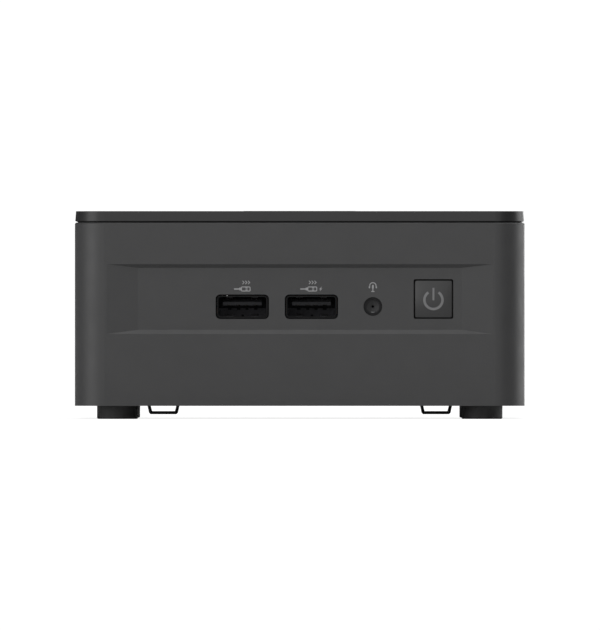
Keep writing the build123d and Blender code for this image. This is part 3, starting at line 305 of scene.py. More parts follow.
# ---- finishes ----
def moulded(name, base, grain):
    """Spark-eroded moulding: a fine pebble grain, broad gloss patches and faint mottling."""
    finish = Finish(name, base, 0.43, specular=0.55)
    finish.bump(finish.noise(grain, 3.0, rough=0.6), 0.012 * MM, 0.55)
    finish.bump(finish.noise(9.0, 1.0), 0.4 * MM, 0.02)
    finish.vary_roughness(finish.noise(6.0 * MM, 3.0), 0.38, 0.48)
    finish.vary_colour(finish.noise(14.0 * MM, 4.0), 0.97, 1.03)
    return finish.material


def crown(finish, centre, radius):
    """A shallow crown over a small face: a bump that falls away with the square of the distance."""
    middle = finish.add("ShaderNodeVectorMath", operation="SUBTRACT")
    middle.inputs[1].default_value = centre
    finish.link(finish.place, middle.inputs[0])
    square = finish.add("ShaderNodeVectorMath", operation="DOT_PRODUCT")
    finish.link(middle.outputs["Vector"], square.inputs[0])
    finish.link(middle.outputs["Vector"], square.inputs[1])
    finish.bump(finish.maths("MULTIPLY", square.outputs["Value"], -1.0 / (2 * radius)), 1.0)


def satin(name, base, low=0.29, high=0.33, relief=0.005):
    """Smooth satin plastic with a very fine grain and light handling marks."""
    finish = Finish(name, base, (low + high) / 2, specular=0.38)
    finish.bump(finish.noise(0.16 * MM, 2.0), relief * MM, 0.5)
    finish.vary_roughness(finish.noise(24.0 * MM, 3.0), low, high)
    finish.vary_colour(finish.noise(20.0 * MM, 3.0), 0.97, 1.03)
    return finish


def coated_steel(name, base, grain):
    """Powder coat: a fine orange-peel skin with slightly glossier peaks."""
    finish = Finish(name, base, 0.5, specular=0.5)
    peel = finish.cells(grain, "SMOOTH_F1")
    finish.bump(peel, 0.02 * MM, 0.5)
    finish.vary_roughness(peel, 0.40, 0.60, 0.1, 0.7)
    finish.vary_colour(finish.noise(5.0 * MM, 4.0), 0.9, 1.1)
    return finish.material


def rubber(name, base):
    """Moulded rubber with a dusty, slightly rough skin."""
    finish = Finish(name, base, 0.6, specular=0.45)
    dust = finish.noise(1.6 * MM, 5.0, rough=0.7)
    finish.bump(finish.noise(0.22 * MM, 2.0), 0.02 * MM, 0.6)
    finish.vary_roughness(dust, 0.48, 0.7)
    finish.vary_colour(dust, 0.85, 1.35)
    return finish.material


def nylon(name, base, low=0.42, high=0.6, shine=0.45):
    """Filled nylon of the sockets and headers, with short flow lines."""
    finish = Finish(name, base, 0.5, specular=shine)
    flow = finish.noise(0.5 * MM, 3.0, finish.stretched((1.0, 0.25, 1.0)))
    finish.bump(flow, 0.006 * MM, 0.6)
    finish.vary_roughness(flow, low, high)
    finish.vary_colour(finish.noise(3.0 * MM, 3.0), 0.9, 1.12)
    return finish.material


def rolled_metal(name, base, stretch, low=0.22, high=0.42, metallic=1.0):
    """Plated or bare sheet with rolling lines along one axis and soft stains."""
    finish = Finish(name, base, (low + high) / 2, metallic=metallic)
    lines = finish.noise(0.3 * MM, 3.0, finish.stretched(stretch), 0.6)
    stains = finish.noise(9.0 * MM, 5.0, rough=0.6)
    finish.bump(lines, 0.004 * MM, 0.5)
    finish.vary_roughness(finish.maths("ADD", finish.maths("MULTIPLY", lines, 0.6),
                                       finish.maths("MULTIPLY", stains, 0.4)), low, high)
    finish.vary_colour(stains, 0.9, 1.06)
    return finish.material


def laminate(name, base):
    """Circuit board: solder mask over raised tracks, the tracks drawn lighter."""
    finish = Finish(name, base, 0.35, specular=0.5)
    tracks = finish.cells(2.6 * MM, "DISTANCE_TO_EDGE")
    raised = finish.ranged(tracks, 1.0, 0.0, 0.03, 0.09)
    finish.bump(raised, 0.03 * MM, 0.8)
    finish.vary_roughness(finish.noise(4.0 * MM, 3.0), 0.28, 0.42)
    finish.two_colours(raised, finish.base, times(finish.base, TRACK_SHADE))
    return finish.material


def card(name, base, chip, low, high):
    """A small card: solder mask on the board, and dark chips above and below it."""
    finish = Finish(name, base, 0.4, specular=0.5)
    split = finish.add("ShaderNodeSeparateXYZ")
    finish.link(finish.place, split.inputs["Vector"])
    above = finish.maths("GREATER_THAN", split.outputs["Z"], high)
    below = finish.maths("LESS_THAN", split.outputs["Z"], low)
    on_chip = finish.maths("MAXIMUM", above, below)
    finish.two_colours(on_chip, finish.base, chip, 0.0, 1.0)
    finish.bump(finish.noise(0.2 * MM, 2.0), 0.006 * MM, 0.5)
    finish.vary_roughness(finish.noise(2.0 * MM, 3.0), 0.35, 0.55)
    return finish.material


def ink(name, base):
    """Screen-printed ink, a little uneven in cover and gloss."""
    finish = Finish(name, base, 0.6, specular=0.3)
    cover = finish.noise(0.3 * MM, 3.0, rough=0.6)
    finish.bump(cover, 0.004 * MM, 0.4)
    finish.vary_roughness(cover, 0.5, 0.7)
    finish.vary_colour(cover, 0.9, 1.08)
    return finish.material


def guide_plastic(name, base):
    """Frosted light-guide plastic with a soft milky depth."""
    finish = Finish(name, base, 0.42, specular=0.45)
    frost = finish.noise(0.35 * MM, 3.0)
    finish.shader.inputs["Subsurface Weight"].default_value = 0.15
    finish.shader.inputs["Subsurface Radius"].default_value = (0.4 * MM, 0.4 * MM, 0.4 * MM)
    finish.shader.inputs["Subsurface Scale"].default_value = 1.0
    finish.bump(frost, 0.004 * MM, 0.5)
    finish.vary_roughness(frost, 0.36, 0.48)
    finish.vary_colour(finish.noise(2.0 * MM, 3.0), 0.95, 1.05)
    return finish.material


# ---- mesh helpers ----
SHARP_ANGLE = 35


def solid(name, material, slot, body, *shapes):
    """One object from several closed shapes, each a (points, faces) pair, in row coordinates."""
    mesh = bpy.data.meshes.new(name)
    points, faces = [], []
    for shape_points, shape_faces in shapes:
        start = len(points)
        points += [tuple(p) for p in shape_points]
        faces += [tuple(start + index for index in face) for face in shape_faces]
    mesh.from_pydata(points, [], faces)
    work = bmesh.new()
    work.from_mesh(mesh)
    bmesh.ops.recalc_face_normals(work, faces=work.faces)
    work.to_mesh(mesh)
    work.free()
    mesh.materials.append(material)
    thing = bpy.data.objects.new(name, mesh)
    bpy.context.scene.collection.objects.link(thing)
    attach(thing, body)
    return thing


def rounded(thing, width, segments=2, smooth=True):
    """Rounds a piece's edges."""
    bevel = thing.modifiers.new("rounding", "BEVEL")
    bevel.width = width
    bevel.segments = segments
    bevel.limit_method = "ANGLE"
    bevel.angle_limit = math.radians(SHARP_ANGLE)
    if smooth:
        for face in thing.data.polygons:
            face.use_smooth = True
        normals = thing.modifiers.new("shading", "WEIGHTED_NORMAL")
        normals.keep_sharp = True


def prism(outline, lift, place):
    """A closed prism: a flat outline raised by lift, moved by a matrix."""
    count = len(outline)
    low = [place @ Vector((u, v, 0.0)) for u, v in outline]
    high = [place @ Vector((u, v, lift)) for u, v in outline]
    faces = [tuple(range(count))[::-1], tuple(range(count, 2 * count))]
    for index in range(count):
        after = (index + 1) % count
        faces.append((index, after, count + after, count + index))
    return low + high, faces


def band(points, width, lift, place, closed=False):
    """A closed flat strip of even width along a line of points, with mitred corners."""
    line = [Vector(p) for p in points]
    count = len(line)
    left, right = [], []
    for index, point in enumerate(line):
        before = line[index - 1] if closed or index else point
        after = line[(index + 1) % count] if closed or index < count - 1 else point
        into = (point - before).normalized() if point != before else (after - point).normalized()
        out = (after - point).normalized() if after != point else into
        normal = Vector((-into.y - out.y, into.x + out.x)).normalized()
        mitre = width / 2 / max(0.3, normal.dot(Vector((-into.y, into.x))))
        left.append(point + normal * mitre)
        right.append(point - normal * mitre)
    rings = [[place @ Vector((p.x, p.y, z)) for p in side]
             for z in (0.0, lift) for side in (left, right)]
    faces = []
    last = count if closed else count - 1
    for index in range(last):
        after = (index + 1) % count
        for one, two in ((0, 1), (1, 3), (3, 2), (2, 0)):
            one, two = one * count, two * count
            faces.append((one + index, one + after, two + after, two + index))
    if not closed:
        for index in (0, count - 1):
            faces.append((index, count + index, 3 * count + index, 2 * count + index))
    return [p for ring in rings for p in ring], faces


def arc(centre, radius, start, end, count=24):
    """Points along an arc, in degrees."""
    steps = [math.radians(start + (end - start) * index / (count - 1)) for index in range(count)]
    return [(centre[0] + radius * math.cos(a), centre[1] + radius * math.sin(a)) for a in steps]


def rounded_outline(centre, size, radius, count=5):
    """A rectangle with rounded corners, as points."""
    half_u, half_v = size[0] / 2 - radius, size[1] / 2 - radius
    points = []
    for quarter, (su, sv) in enumerate(((1, 1), (-1, 1), (-1, -1), (1, -1))):
        corner = (centre[0] + su * half_u, centre[1] + sv * half_v)
        points += arc(corner, radius, 90 * quarter, 90 * quarter + 90, count)
    return points


def facing(x, y, z, right, up, out):
    """A matrix for flat work in millimetres: u, v and lift run along three given directions."""
    rows = [[axis[row] * MM for axis in (right, up, out)] + [(x, y, z)[row]] for row in range(3)]
    return Matrix((*rows, (0, 0, 0, 1)))


def facing_front(x, y, z):
    """Flat work on a front panel, lifted towards -Y."""
    return facing(x, y, z, (1, 0, 0), (0, 0, 1), (0, -1, 0))


def facing_rear(x, y, z):
    """Flat work on a rear panel, lifted towards +Y and read from behind."""
    return facing(x, y, z, (-1, 0, 0), (0, 0, 1), (0, 1, 0))


def facing_up(x, y, z):
    """Flat work on a top face, lifted upwards."""
    return facing(x, y, z, (1, 0, 0), (0, 1, 0), (0, 0, 1))


def facing_side(x, y, z, inward):
    """A side profile: u runs into a socket, v up and lift across it."""
    return facing(x, y, z, (0, inward, 0), (0, 0, 1), (1, 0, 0))


# ---- finishes for the modelled parts ----
CROWN_RADIUS = 20 * MM
CROWN_SHIFT = Vector((1.4, 0.0, -1.2)) * MM
# How far a card's own board starts above its lowest face and ends below its highest, in millimetres.
CARD_SKIN = (0.9, 0.9)
PACKAGE_SKIN = (-1.0, 0.4)


class MINIPC_OT_case(bpy.types.Operator):
    """Finish the shell, lid, deck frame, side grilles, lock plate and rear blank"""

    bl_idname = "minipc.case"
    bl_label = "Finish the case"

    def execute(self, context):
        hue = colours()
        paint(moulded("case_moulding", hue.case, sizes().grain), "chassis_shell", "expansion_cover")
        paint(satin("lid_satin", hue.lid).material, "top_lid")
        dull = nylon("frame_nylon", times(hue.case, FRAME_SHADE), 0.6, 0.75, 0.3)
        paint(dull, "inner_frame", "side_grille_left", "side_grille_right")
        plate = coated_steel("lock_coating", times(hue.coat_with_painted_light, LOCK_SHADE), sizes().coat_grain)
        paint(plate, "lock_slot_plate")
        return {"FINISHED"}


class MINIPC_OT_cover(bpy.types.Operator):
    """Finish the bottom cover, feet, screws, drive, its bay and its cable"""

    bl_idname = "minipc.cover"
    bl_label = "Finish the bottom cover"

    def execute(self, context):
        hue = colours()
        # The cover takes the coat as set, lightened as painted light for its loops in the shade under the
        # case.
        paint(coated_steel("cover_coating", hue.coat_with_painted_light, sizes().coat_grain), "bottom_cover")
        feet = [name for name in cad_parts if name.startswith("foot_")]
        paint(rubber("foot_rubber", hue.rubber), *feet)
        screws = rolled_metal("screw_zinc", times(hue.zinc, SCREW_SHADE), LINES_Z, 0.25, 0.4)
        paint(screws, "captive_screws", "drive_screws", "card_screws", "cold_plate_screws")
        paint(rolled_metal("bay_zinc", hue.zinc, LINES_X_LONGEST), "drive_bay")
        paint(rolled_metal("drive_aluminium", CAST_ALUMINIUM, NO_LINES, 0.38, 0.52), "drive")
        paint(nylon("cable_film", CABLE_FILM, 0.3, 0.4), "drive_cable", "drive_cable_plug")
        return {"FINISHED"}


class MINIPC_OT_front(bpy.types.Operator):
    """Finish the front sockets, the jack, the power button and its light guide"""

    bl_idname = "minipc.front"
    bl_label = "Finish the front"

    def execute(self, context):
        hue = colours()
        shells = rolled_metal("socket_black_plate", BLACK_PLATE, LINES_Y_LONG, 0.35, 0.5)
        paint(shells, "front_usb_left_shell", "front_usb_right_shell")
        tongue = nylon("socket_nylon", times(hue.socket, TONGUE_SHADE), 0.5, 0.65, 0.1)
        paint(tongue, "front_usb_left_tongue", "front_usb_right_tongue", "rear_usb_tongues")
        barrel = nylon("jack_nylon", times(hue.socket, JACK_SHADE), 0.55, 0.7, 0.28)
        paint(barrel, "headset_jack", "dc_jack")
        low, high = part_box("power_button")
        cap = satin("button_satin", hue.button, 0.30, 0.38, 0.003)
        middle = (low + high) / 2 + CROWN_SHIFT
        crown(cap, (middle.x, low.y, middle.z), CROWN_RADIUS)
        paint(cap.material, "power_button")
        paint(guide_plastic("guide_frosted", hue.guide), "power_symbol")
        paint(nylon("switch_nylon", SWITCH_WHITE), "switch_plunger")
        paint(nylon("part_nylon", hue.socket), "power_switch_body", "drive_header", "card_sockets",
              "memory_sockets")
        return {"FINISHED"}


class MINIPC_OT_rear(bpy.types.Operator):
    """Finish the rear panel and its sockets"""

    bl_idname = "minipc.rear"
    bl_label = "Finish the rear"

    def execute(self, context):
        hue = colours()
        panel = coated_steel("panel_coating", times(hue.coat_with_painted_light, PANEL_SHADE), sizes().coat_grain)
        paint(panel, "rear_io_plate")
        plated = rolled_metal("socket_nickel", hue.zinc, LINES_Y_LONG, 0.2, 0.36)
        paint(plated, "hdmi_port_left", "hdmi_port_right", "usb_c_port_left", "usb_c_port_right",
              "network_jack", "rear_usb_shell", "dc_jack_pin")
        return {"FINISHED"}


class MINIPC_OT_board(bpy.types.Operator):
    """Finish the main board and what is mounted on it"""

    bl_idname = "minipc.board"
    bl_label = "Finish the board"

    def execute(self, context):
        hue = colours()
        paint(laminate("board_laminate", hue.board), "main_board")
        for name in ("memory_module_lower", "memory_module_upper", "ssd_module", "wireless_card",
                     "cpu_package"):
            low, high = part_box(name)
            below, above = PACKAGE_SKIN if name == "cpu_package" else CARD_SKIN
            skin = (low.z + below * MM, high.z - above * MM)
            paint(card(name + "_finish", hue.board, CARD_CHIP, *skin), name)
        paint(rolled_metal("fastener_brass", BRASS, LINES_Z), "board_fasteners")
        paint(rolled_metal("cell_steel", hue.zinc, LINES_Z_SHORT, 0.2, 0.3), "coin_cell")
        paint(nylon("component_grey", COMPONENT_GREY), "power_components")
        paint(nylon("antenna_film", ANTENNA_FILM), "antennas", "fan_leads")
        return {"FINISHED"}


class MINIPC_OT_cooling(bpy.types.Operator):
    """Finish the cold plate, heat pipes, fins and blower"""

    bl_idname = "minipc.cooling"
    bl_label = "Finish the cooling parts"

    def execute(self, context):
        hue = colours()
        paint(rolled_metal("bare_copper", hue.copper, LINES_X, 0.22, 0.4), "cold_plate", "heat_pipes")
        paint(rolled_metal("fin_aluminium", FIN_ALUMINIUM, LINES_Y_LONG), "fin_stack")
        paint(nylon("blower_nylon", hue.socket), "blower_housing", "fan_motor", "fan_rotor")
        paint(rolled_metal("blower_lid_steel", hue.zinc, LINES_X_LONG, 0.28, 0.42), "blower_cover")
        return {"FINISHED"}


# ---- small fittings ----
# Sizes here are in millimetres unless MM is written.
USB_HALF_H = 2.86
USB_INNER_HALF = 2.56
USB_TONGUE_UNDER = 0.35
USB_TIP = 1.2
USB_WALL = 9.5
STACK_LEVELS = (3.9, 11.7)

# A contact's side line, as (way in, height) points.
CONTACT_LINE = ((USB_TIP + 2.6, 0.02), (USB_TIP + 3.4, -0.03), (USB_WALL - 1.5, -0.03), (USB_WALL, 0.02))
CONTACT_OFFSETS = (-3.5, -1.0, 1.0, 3.5)
CONTACT_RISE = 0.1
CONTACT_THICK = 0.12

# A finger's start and end on the way in, and the rise of its bow.
FINGER_RUN = (1.6, 7.0, 0.42)
FINGER_OFFSETS = (-3.2, 3.2)
FINGER_POINTS = 13
FINGER_SINK = 0.1
FINGER_THICK = 0.16

FRONT_WALL = 2.4 * MM
GASKET_GAP = 0.1
GASKET_LIFT = 1.0
GASKET_LINE = (14.7, 7.32)
GASKET_R = 1.6
GASKET_WIDTH = 1.5

# The seat: a thin notched sheet at the back of each front socket, drawn lighter as painted light in the
# socket's shade. Each notch is its middle and its width.
SEAT_HALF_W = 6.1
SEAT_LIFT = 0.12
SEAT_LOW_NOTCHES = ((-3.1, 1.4), (0.1, 0.6), (3.2, 1.4))
SEAT_NOTCH = 0.48
SEAT_TOP_NOTCHES = ((-3.3, 0.9), (-0.95, 0.8), (1.2, 0.8), (3.5, 0.9))
SEAT_V = (-2.5, -0.35)

# The sleeve's (radius, depth) corners, and the spring tip's radius, depth, width, height and sweep.
JACK_ABOVE = 3.2
JACK_SLEEVE = ((1.79, 0.7), (1.2, 0.95), (0.3, 1.25), (0.3, 3.0), (1.79, 3.0))
JACK_SPRING = (1.5, 0.5, 0.16, 0.4)
JACK_SPRING_SWEEP = (-108.0, -72.0)
TURNED_STEPS = 32


def finger_curve(start, end, rise):
    """A sprung finger's side curve: up in a soft bow, and down again past its top."""
    points = []
    for index in range(FINGER_POINTS):
        share = index / (FINGER_POINTS - 1)
        bow = math.sin(math.pi * min(1.0, share * 1.15)) ** 1.5
        points.append((start + (end - start) * share, rise * bow))
    return points


def socket_contacts(centre_x, mouth_y, middle_z, inward):
    """Four contact strips under a socket's tongue."""
    shapes = []
    width = sizes().contact / MM
    for offset in CONTACT_OFFSETS:
        x = centre_x + (offset - width / 2) * MM
        place = facing_side(x, mouth_y, middle_z + (USB_TONGUE_UNDER + CONTACT_RISE) * MM, inward)
        shapes.append(band(CONTACT_LINE, CONTACT_THICK, width, place))
    return shapes


def socket_fingers(centre_x, mouth_y, middle_z, inward):
    """Sprung fingers on the top and bottom of a socket's shell."""
    shapes = []
    width = sizes().spring / MM
    for side in (-1, 1):
        wall = middle_z + side * (USB_INNER_HALF - FINGER_SINK) * MM
        for offset in FINGER_OFFSETS:
            x = centre_x + (offset - width / 2) * MM
            place = facing_side(x, mouth_y, wall, inward)
            curve = [(u, -side * v) for u, v in finger_curve(*FINGER_RUN)]
            shapes.append(band(curve, FINGER_THICK, width, place))
    return shapes


def seat_outline():
    """A thin sheet below a socket's tongue, notched along both long edges, that puts painted light in the
    shaded back of the socket.
    """
    low, high = SEAT_V
    points = [(-SEAT_HALF_W, low)]
    for middle, width in SEAT_LOW_NOTCHES:
        left, right = middle - width / 2, middle + width / 2
        points += [(left, low), (left, low + SEAT_NOTCH), (right, low + SEAT_NOTCH), (right, low)]
    points += [(SEAT_HALF_W, low), (SEAT_HALF_W, high)]
    for middle, width in reversed(SEAT_TOP_NOTCHES):
        left, right = middle - width / 2, middle + width / 2
        points += [(right, high), (right, high - SEAT_NOTCH), (left, high - SEAT_NOTCH), (left, high)]
    return points + [(-SEAT_HALF_W, high)]


def socket_places():
    """Each data socket: a name, its middle X, its mouth Y, its middle Z, the way in and the shell's slot."""
    places = []
    for side in ("left", "right"):
        low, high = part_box(f"front_usb_{side}_shell")
        middle = high.z - USB_HALF_H * MM
        places.append((f"front_usb_{side}", (low.x + high.x) / 2, low.y, middle, 1, "usb_shell_black"))
    low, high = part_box("rear_usb_shell")
    for level, height in zip(("lower", "upper"), STACK_LEVELS):
        middle = low.z + height * MM
        places.append((f"rear_usb_{level}", (low.x + high.x) / 2, high.y, middle, -1, "port_steel"))
    return places


def turned(profile, place):
    """A closed ring turned about the line of lift, from (radius, depth) corners."""
    points, faces = [], []
    rows = len(profile)
    for index in range(TURNED_STEPS):
        angle = 2 * math.pi * index / TURNED_STEPS
        points += [place @ Vector((radius * math.cos(angle), radius * math.sin(angle), -deep))
                   for radius, deep in profile]
        after = (index + 1) % TURNED_STEPS * rows
        for row in range(rows):
            up = (row + 1) % rows
            faces.append((index * rows + row, index * rows + up, after + up, after + row))
    return points, faces


class MINIPC_OT_jack_fittings(bpy.types.Operator):
    """Make the sleeve and the spring tip inside the headset jack"""

    bl_idname = "minipc.jack_fittings"
    bl_label = "Make the jack fittings"

    def execute(self, context):
        low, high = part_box("headset_jack")
        place = facing_front((low.x + high.x) / 2, low.y, high.z - JACK_ABOVE * MM)
        grey = nylon("sleeve_nylon", SLEEVE_GREY, 0.5, 0.65, 0.2)
        sleeve = solid("jack_sleeve", grey, "jack_plastic", "chassis", turned(JACK_SLEEVE, place))
        rounded(sleeve, 0.1 * MM)
        radius, deep, width, lift = JACK_SPRING
        line = arc((0.0, 0.0), radius, *JACK_SPRING_SWEEP, 12)
        tip = band(line, width, lift, place @ Matrix.Translation((0, 0, -deep)))
        bright = rolled_metal("spring_nickel", times(colours().zinc, SPRING_SHADE), LINES_Y, 0.3, 0.45)
        rounded(solid("jack_spring", bright, "pin_metal", "chassis", tip), 0.05 * MM)
        return {"FINISHED"}


class MINIPC_OT_socket_fittings(bpy.types.Operator):
    """Make the contacts and fingers of the data sockets, with painted shade on the front contacts, and the
    painted-light seats and gaskets of the front ones
    """

    bl_idname = "minipc.socket_fittings"
    bl_label = "Make the socket fittings"

    def execute(self, context):
        hue = colours()
        gold = rolled_metal("contact_gold", hue.gold, LINES_Y, 0.2, 0.32)
        # The front contacts take this dark grey in place of gold: painted shade inside the socket.
        dull = rolled_metal("contact_nickel", CONTACT_PAINTED_SHADE, LINES_Y, 0.35, 0.5)
        foam = nylon("gasket_foam", hue.socket, 0.7, 0.85, 0.2)
        # The seats take a lighter copy of the socket plastic: painted light at the shaded back of each front
        # socket.
        painted_light_seat = nylon("seat_nylon", times(hue.socket, SEAT_PAINTED_LIGHT), 0.5, 0.65, 0.1)
        dark = rolled_metal("finger_black", FINGER_BLACK, LINES_Y, 0.3, 0.42, 0.7)
        bright = rolled_metal("finger_nickel", hue.zinc, LINES_Y, 0.2, 0.32)
        wall_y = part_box("chassis_shell")[0].y + FRONT_WALL
        gasket_line = rounded_outline((0.0, 0.0), GASKET_LINE, GASKET_R)
        for name, x, y, z, inward, slot in socket_places():
            front = slot == "usb_shell_black"
            contacts = socket_contacts(x, y, z, inward)
            solid(name + "_contacts", dull if front else gold, "pin_metal", "chassis", *contacts)
            if front:
                deep = facing_front(x, y + (USB_WALL - SEAT_LIFT / 2) * MM, z)
                notched = prism(seat_outline(), SEAT_LIFT, deep)
                solid(name + "_seat", painted_light_seat, "usb_tongue", "chassis", notched)
                behind = facing_front(x, wall_y + (GASKET_LIFT + GASKET_GAP) * MM, z)
                ring = band(gasket_line, GASKET_WIDTH, GASKET_LIFT, behind, closed=True)
                solid(name + "_gasket", foam, "connector_black", "chassis", ring)
            fingers = socket_fingers(x, y, z, inward)
            solid(name + "_fingers", dark if front else bright, slot, "chassis", *fingers)
        return {"FINISHED"}


# ---- printed marks ----
BAND_DEPTH = 0.8 * MM
# Heights of the marks over their sockets, in millimetres.
ROW_ABOVE_SOCKET = 1.75
SMALL_ROW_ABOVE = 1.7
HEADSET_ABOVE = 1.9
REAR_ABOVE = 1.9
INLET_ABOVE = 1.7
# For each front socket: the plug mark's left and right ends, and the middle of the chevrons.
FRONT_ROWS = (("left", (-2.15, 2.15), 1.0), ("right", (-2.9, 1.5), 0.3))
BOLT_U = 2.4
CHEVRON_SHIFTS = (-0.72, 0.0, 0.72)
CHEVRON_STROKE = 0.85


def cable_mark(place, lift, left, right):
    """A plug and its lead, seen flat."""
    stroke = sizes().stroke / MM
    body_left = left + 0.42 * (right - left)
    middle = (body_left + right) / 2
    outline = rounded_outline((middle, 0.0), (right - body_left - stroke, 1.3 - stroke), 0.22)
    shapes = [band(outline, stroke, lift, place, closed=True)]
    shapes.append(band([(left, 0.0), (body_left - 0.45, 0.0)], stroke * 1.3, lift, place))
    shapes.append(prism(rounded_outline((body_left - 0.22, 0.0), (0.46, 0.7), 0.08, 3), lift, place))
    for v in (-0.24, 0.24):
        shapes.append(prism(rounded_outline((middle + 0.2, v), (0.55, 0.24), 0.05, 3), lift, place))
    return shapes


def fast_mark(place, lift, centre):
    """Three small chevrons that say the socket is a fast one."""
    stroke = sizes().stroke * CHEVRON_STROKE / MM
    row = place @ Matrix.Translation((0, SMALL_ROW_ABOVE, 0))
    shapes = []
    for shift in CHEVRON_SHIFTS:
        u = centre + shift
        shapes.append(band([(u - 0.22, 0.44), (u + 0.2, 0.0), (u - 0.22, -0.44)], stroke, lift, row))
    return shapes


def bolt_mark(place, lift, centre):
    """A small lightning bolt."""
    points = [(0.3, 0.68), (-0.42, -0.1), (-0.04, -0.1), (-0.3, -0.68), (0.42, 0.12), (0.06, 0.12)]
    return [prism([(centre + u, v) for u, v in points], lift, place)]


def headset_mark(place, lift):
    """A headset's bow and cups round a small microphone on its stand."""
    stroke = sizes().stroke / MM
    shapes = [band(arc((0.0, 0.28), 0.82, 195, -15), stroke, lift, place)]
    for side in (-1, 1):
        shapes.append(prism(rounded_outline((side * 0.9, -0.08), (0.36, 0.56), 0.12, 4), lift, place))
    shapes.append(prism(rounded_outline((0.0, 0.0), (0.46, 1.05), 0.22, 5), lift, place))
    shapes.append(band([(0.0, -0.5), (0.0, -1.1)], stroke, lift, place))
    shapes.append(band([(-0.42, -1.2), (0.42, -1.2)], stroke, lift, place))
    return shapes


class MINIPC_OT_front_marks(bpy.types.Operator):
    """Print the plain marks above the front sockets"""

    bl_idname = "minipc.front_marks"
    bl_label = "Print the front marks"

    def execute(self, context):
        paint_mark = ink("mark_ink", colours().mark)
        lift = sizes().ink / MM
        panel_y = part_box("chassis_shell")[0].y + BAND_DEPTH
        for side, spread, chevrons in FRONT_ROWS:
            low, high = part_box(f"front_usb_{side}_shell")
            place = facing_front((low.x + high.x) / 2, panel_y, high.z + ROW_ABOVE_SOCKET * MM)
            shapes = cable_mark(place, lift, *spread) + fast_mark(place, lift, chevrons)
            if side == "right":
                shapes += bolt_mark(place, lift, BOLT_U)
            solid(f"front_mark_{side}", paint_mark, "light_guide", "chassis", *shapes)
        low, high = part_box("headset_jack")
        place = facing_front((low.x + high.x) / 2, panel_y, high.z + HEADSET_ABOVE * MM)
        solid("front_mark_headset", paint_mark, "light_guide", "chassis", *headset_mark(place, lift))
        return {"FINISHED"}


def screen_mark(place, lift):
    """A small screen on a foot."""
    stroke = sizes().stroke / MM
    screen = band(rounded_outline((0.0, 0.25), (2.4, 1.5), 0.15), stroke, lift, place, closed=True)
    return [screen, band([(-0.6, -0.95), (0.6, -0.95)], stroke, lift, place)]


def network_mark(place, lift):
    """Three linked boxes."""
    stroke = sizes().stroke / MM
    shapes = []
    for u, v in ((0.0, 0.7), (-0.9, -0.7), (0.9, -0.7)):
        shapes.append(prism(rounded_outline((u, v), (0.8, 0.6), 0.08, 3), lift, place))
    shapes.append(band([(-0.9, -0.4), (-0.9, 0.0), (0.9, 0.0), (0.9, -0.4)], stroke, lift, place))
    return shapes + [band([(0.0, 0.1), (0.0, 0.4)], stroke, lift, place)]


def inlet_mark(place, lift):
    """A ring round a dot, for a direct-current inlet."""
    stroke = sizes().stroke / MM
    ring = band(arc((0.0, 0.0), 0.75, 0, 345, 24), stroke, lift, place, closed=True)
    return [ring, prism(arc((0.0, 0.0), 0.28, 0, 330, 12), lift, place)]


class MINIPC_OT_rear_marks(bpy.types.Operator):
    """Print the plain marks beside the rear sockets"""

    bl_idname = "minipc.rear_marks"
    bl_label = "Print the rear marks"

    def execute(self, context):
        paint_mark = ink("rear_mark_ink", times(colours().mark, REAR_MARK_SHADE))
        lift = sizes().ink / MM
        panel_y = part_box("rear_io_plate")[1].y
        marks = {"hdmi_port_left": screen_mark, "hdmi_port_right": screen_mark, "dc_jack": inlet_mark,
                 "network_jack": network_mark, "usb_c_port_left": None, "usb_c_port_right": None}
        for node, draw in marks.items():
            low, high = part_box(node)
            above = INLET_ABOVE if node == "dc_jack" else REAR_ABOVE
            place = facing_rear((low.x + high.x) / 2, panel_y, high.z + above * MM)
            shapes = draw(place, lift) if draw else bolt_mark(place, lift, 0.0)
            solid(f"rear_mark_{node}", paint_mark, "light_guide", "chassis", *shapes)
        return {"FINISHED"}


# ---- board chips and drive label ----
# Each zone is two corners; each kind of chip is its size and its height factor.
CHIP_ZONES = (((25.0, -38.0), (43.0, -14.0)), ((-46.0, -37.0), (-31.0, -14.0)),
              ((-40.0, 22.0), (-35.5, 34.0)))
CHIP_KINDS = (((3.2, 3.2), 1.0), ((1.6, 0.8), 0.9), ((2.0, 1.2), 0.8), ((1.0, 0.5), 0.6), ((4.4, 2.6), 1.2))
CHIP_TRIES = 34
CHIP_GAP = 0.4
CHIP_CORNER = 0.12
LABEL_SHIFT = -6.0
LABEL_SIZE = (74.0, 56.0)
LABEL_LIFT = 0.06
STRIPE_UP = 19.0
STRIPE_SIZE = (70.0, 10.0)
STRIPE_LIFT = 0.02


def chip_places(draw):
    """Random non-touching spots for chips, each with its size and height in millimetres."""
    taken = []
    for low, high in CHIP_ZONES:
        for _ in range(CHIP_TRIES):
            size, tall = CHIP_KINDS[draw.randrange(len(CHIP_KINDS))]
            if draw.random() < 0.5:
                size = size[::-1]
            x = draw.uniform(low[0] + size[0] / 2, high[0] - size[0] / 2)
            y = draw.uniform(low[1] + size[1] / 2, high[1] - size[1] / 2)
            if not any(abs(u - x) < (other[0] + size[0]) / 2 + CHIP_GAP
                       and abs(v - y) < (other[1] + size[1]) / 2 + CHIP_GAP
                       for u, v, other, _ in taken):
                taken.append((x, y, size, tall))
    return taken


class MINIPC_OT_board_chips(bpy.types.Operator):
    """Scatter small chips over the free parts of the board"""

    bl_idname = "minipc.board_chips"
    bl_label = "Make the board chips"

    def execute(self, context):
        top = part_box("main_board")[1].z
        height = sizes().chip / MM
        draw = random.Random(studio().seed)
        shapes = []
        for x, y, size, tall in chip_places(draw):
            place = facing_up(x * MM, y * MM, top)
            shapes.append(prism(rounded_outline((0.0, 0.0), size, CHIP_CORNER, 3), tall * height, place))
        black = nylon("chip_black", CHIP_BLACK)
        chips = solid("board_chips", black, "component_grey", "chassis", *shapes)
        rounded(chips, 0.05 * MM, 1, smooth=False)
        return {"FINISHED"}


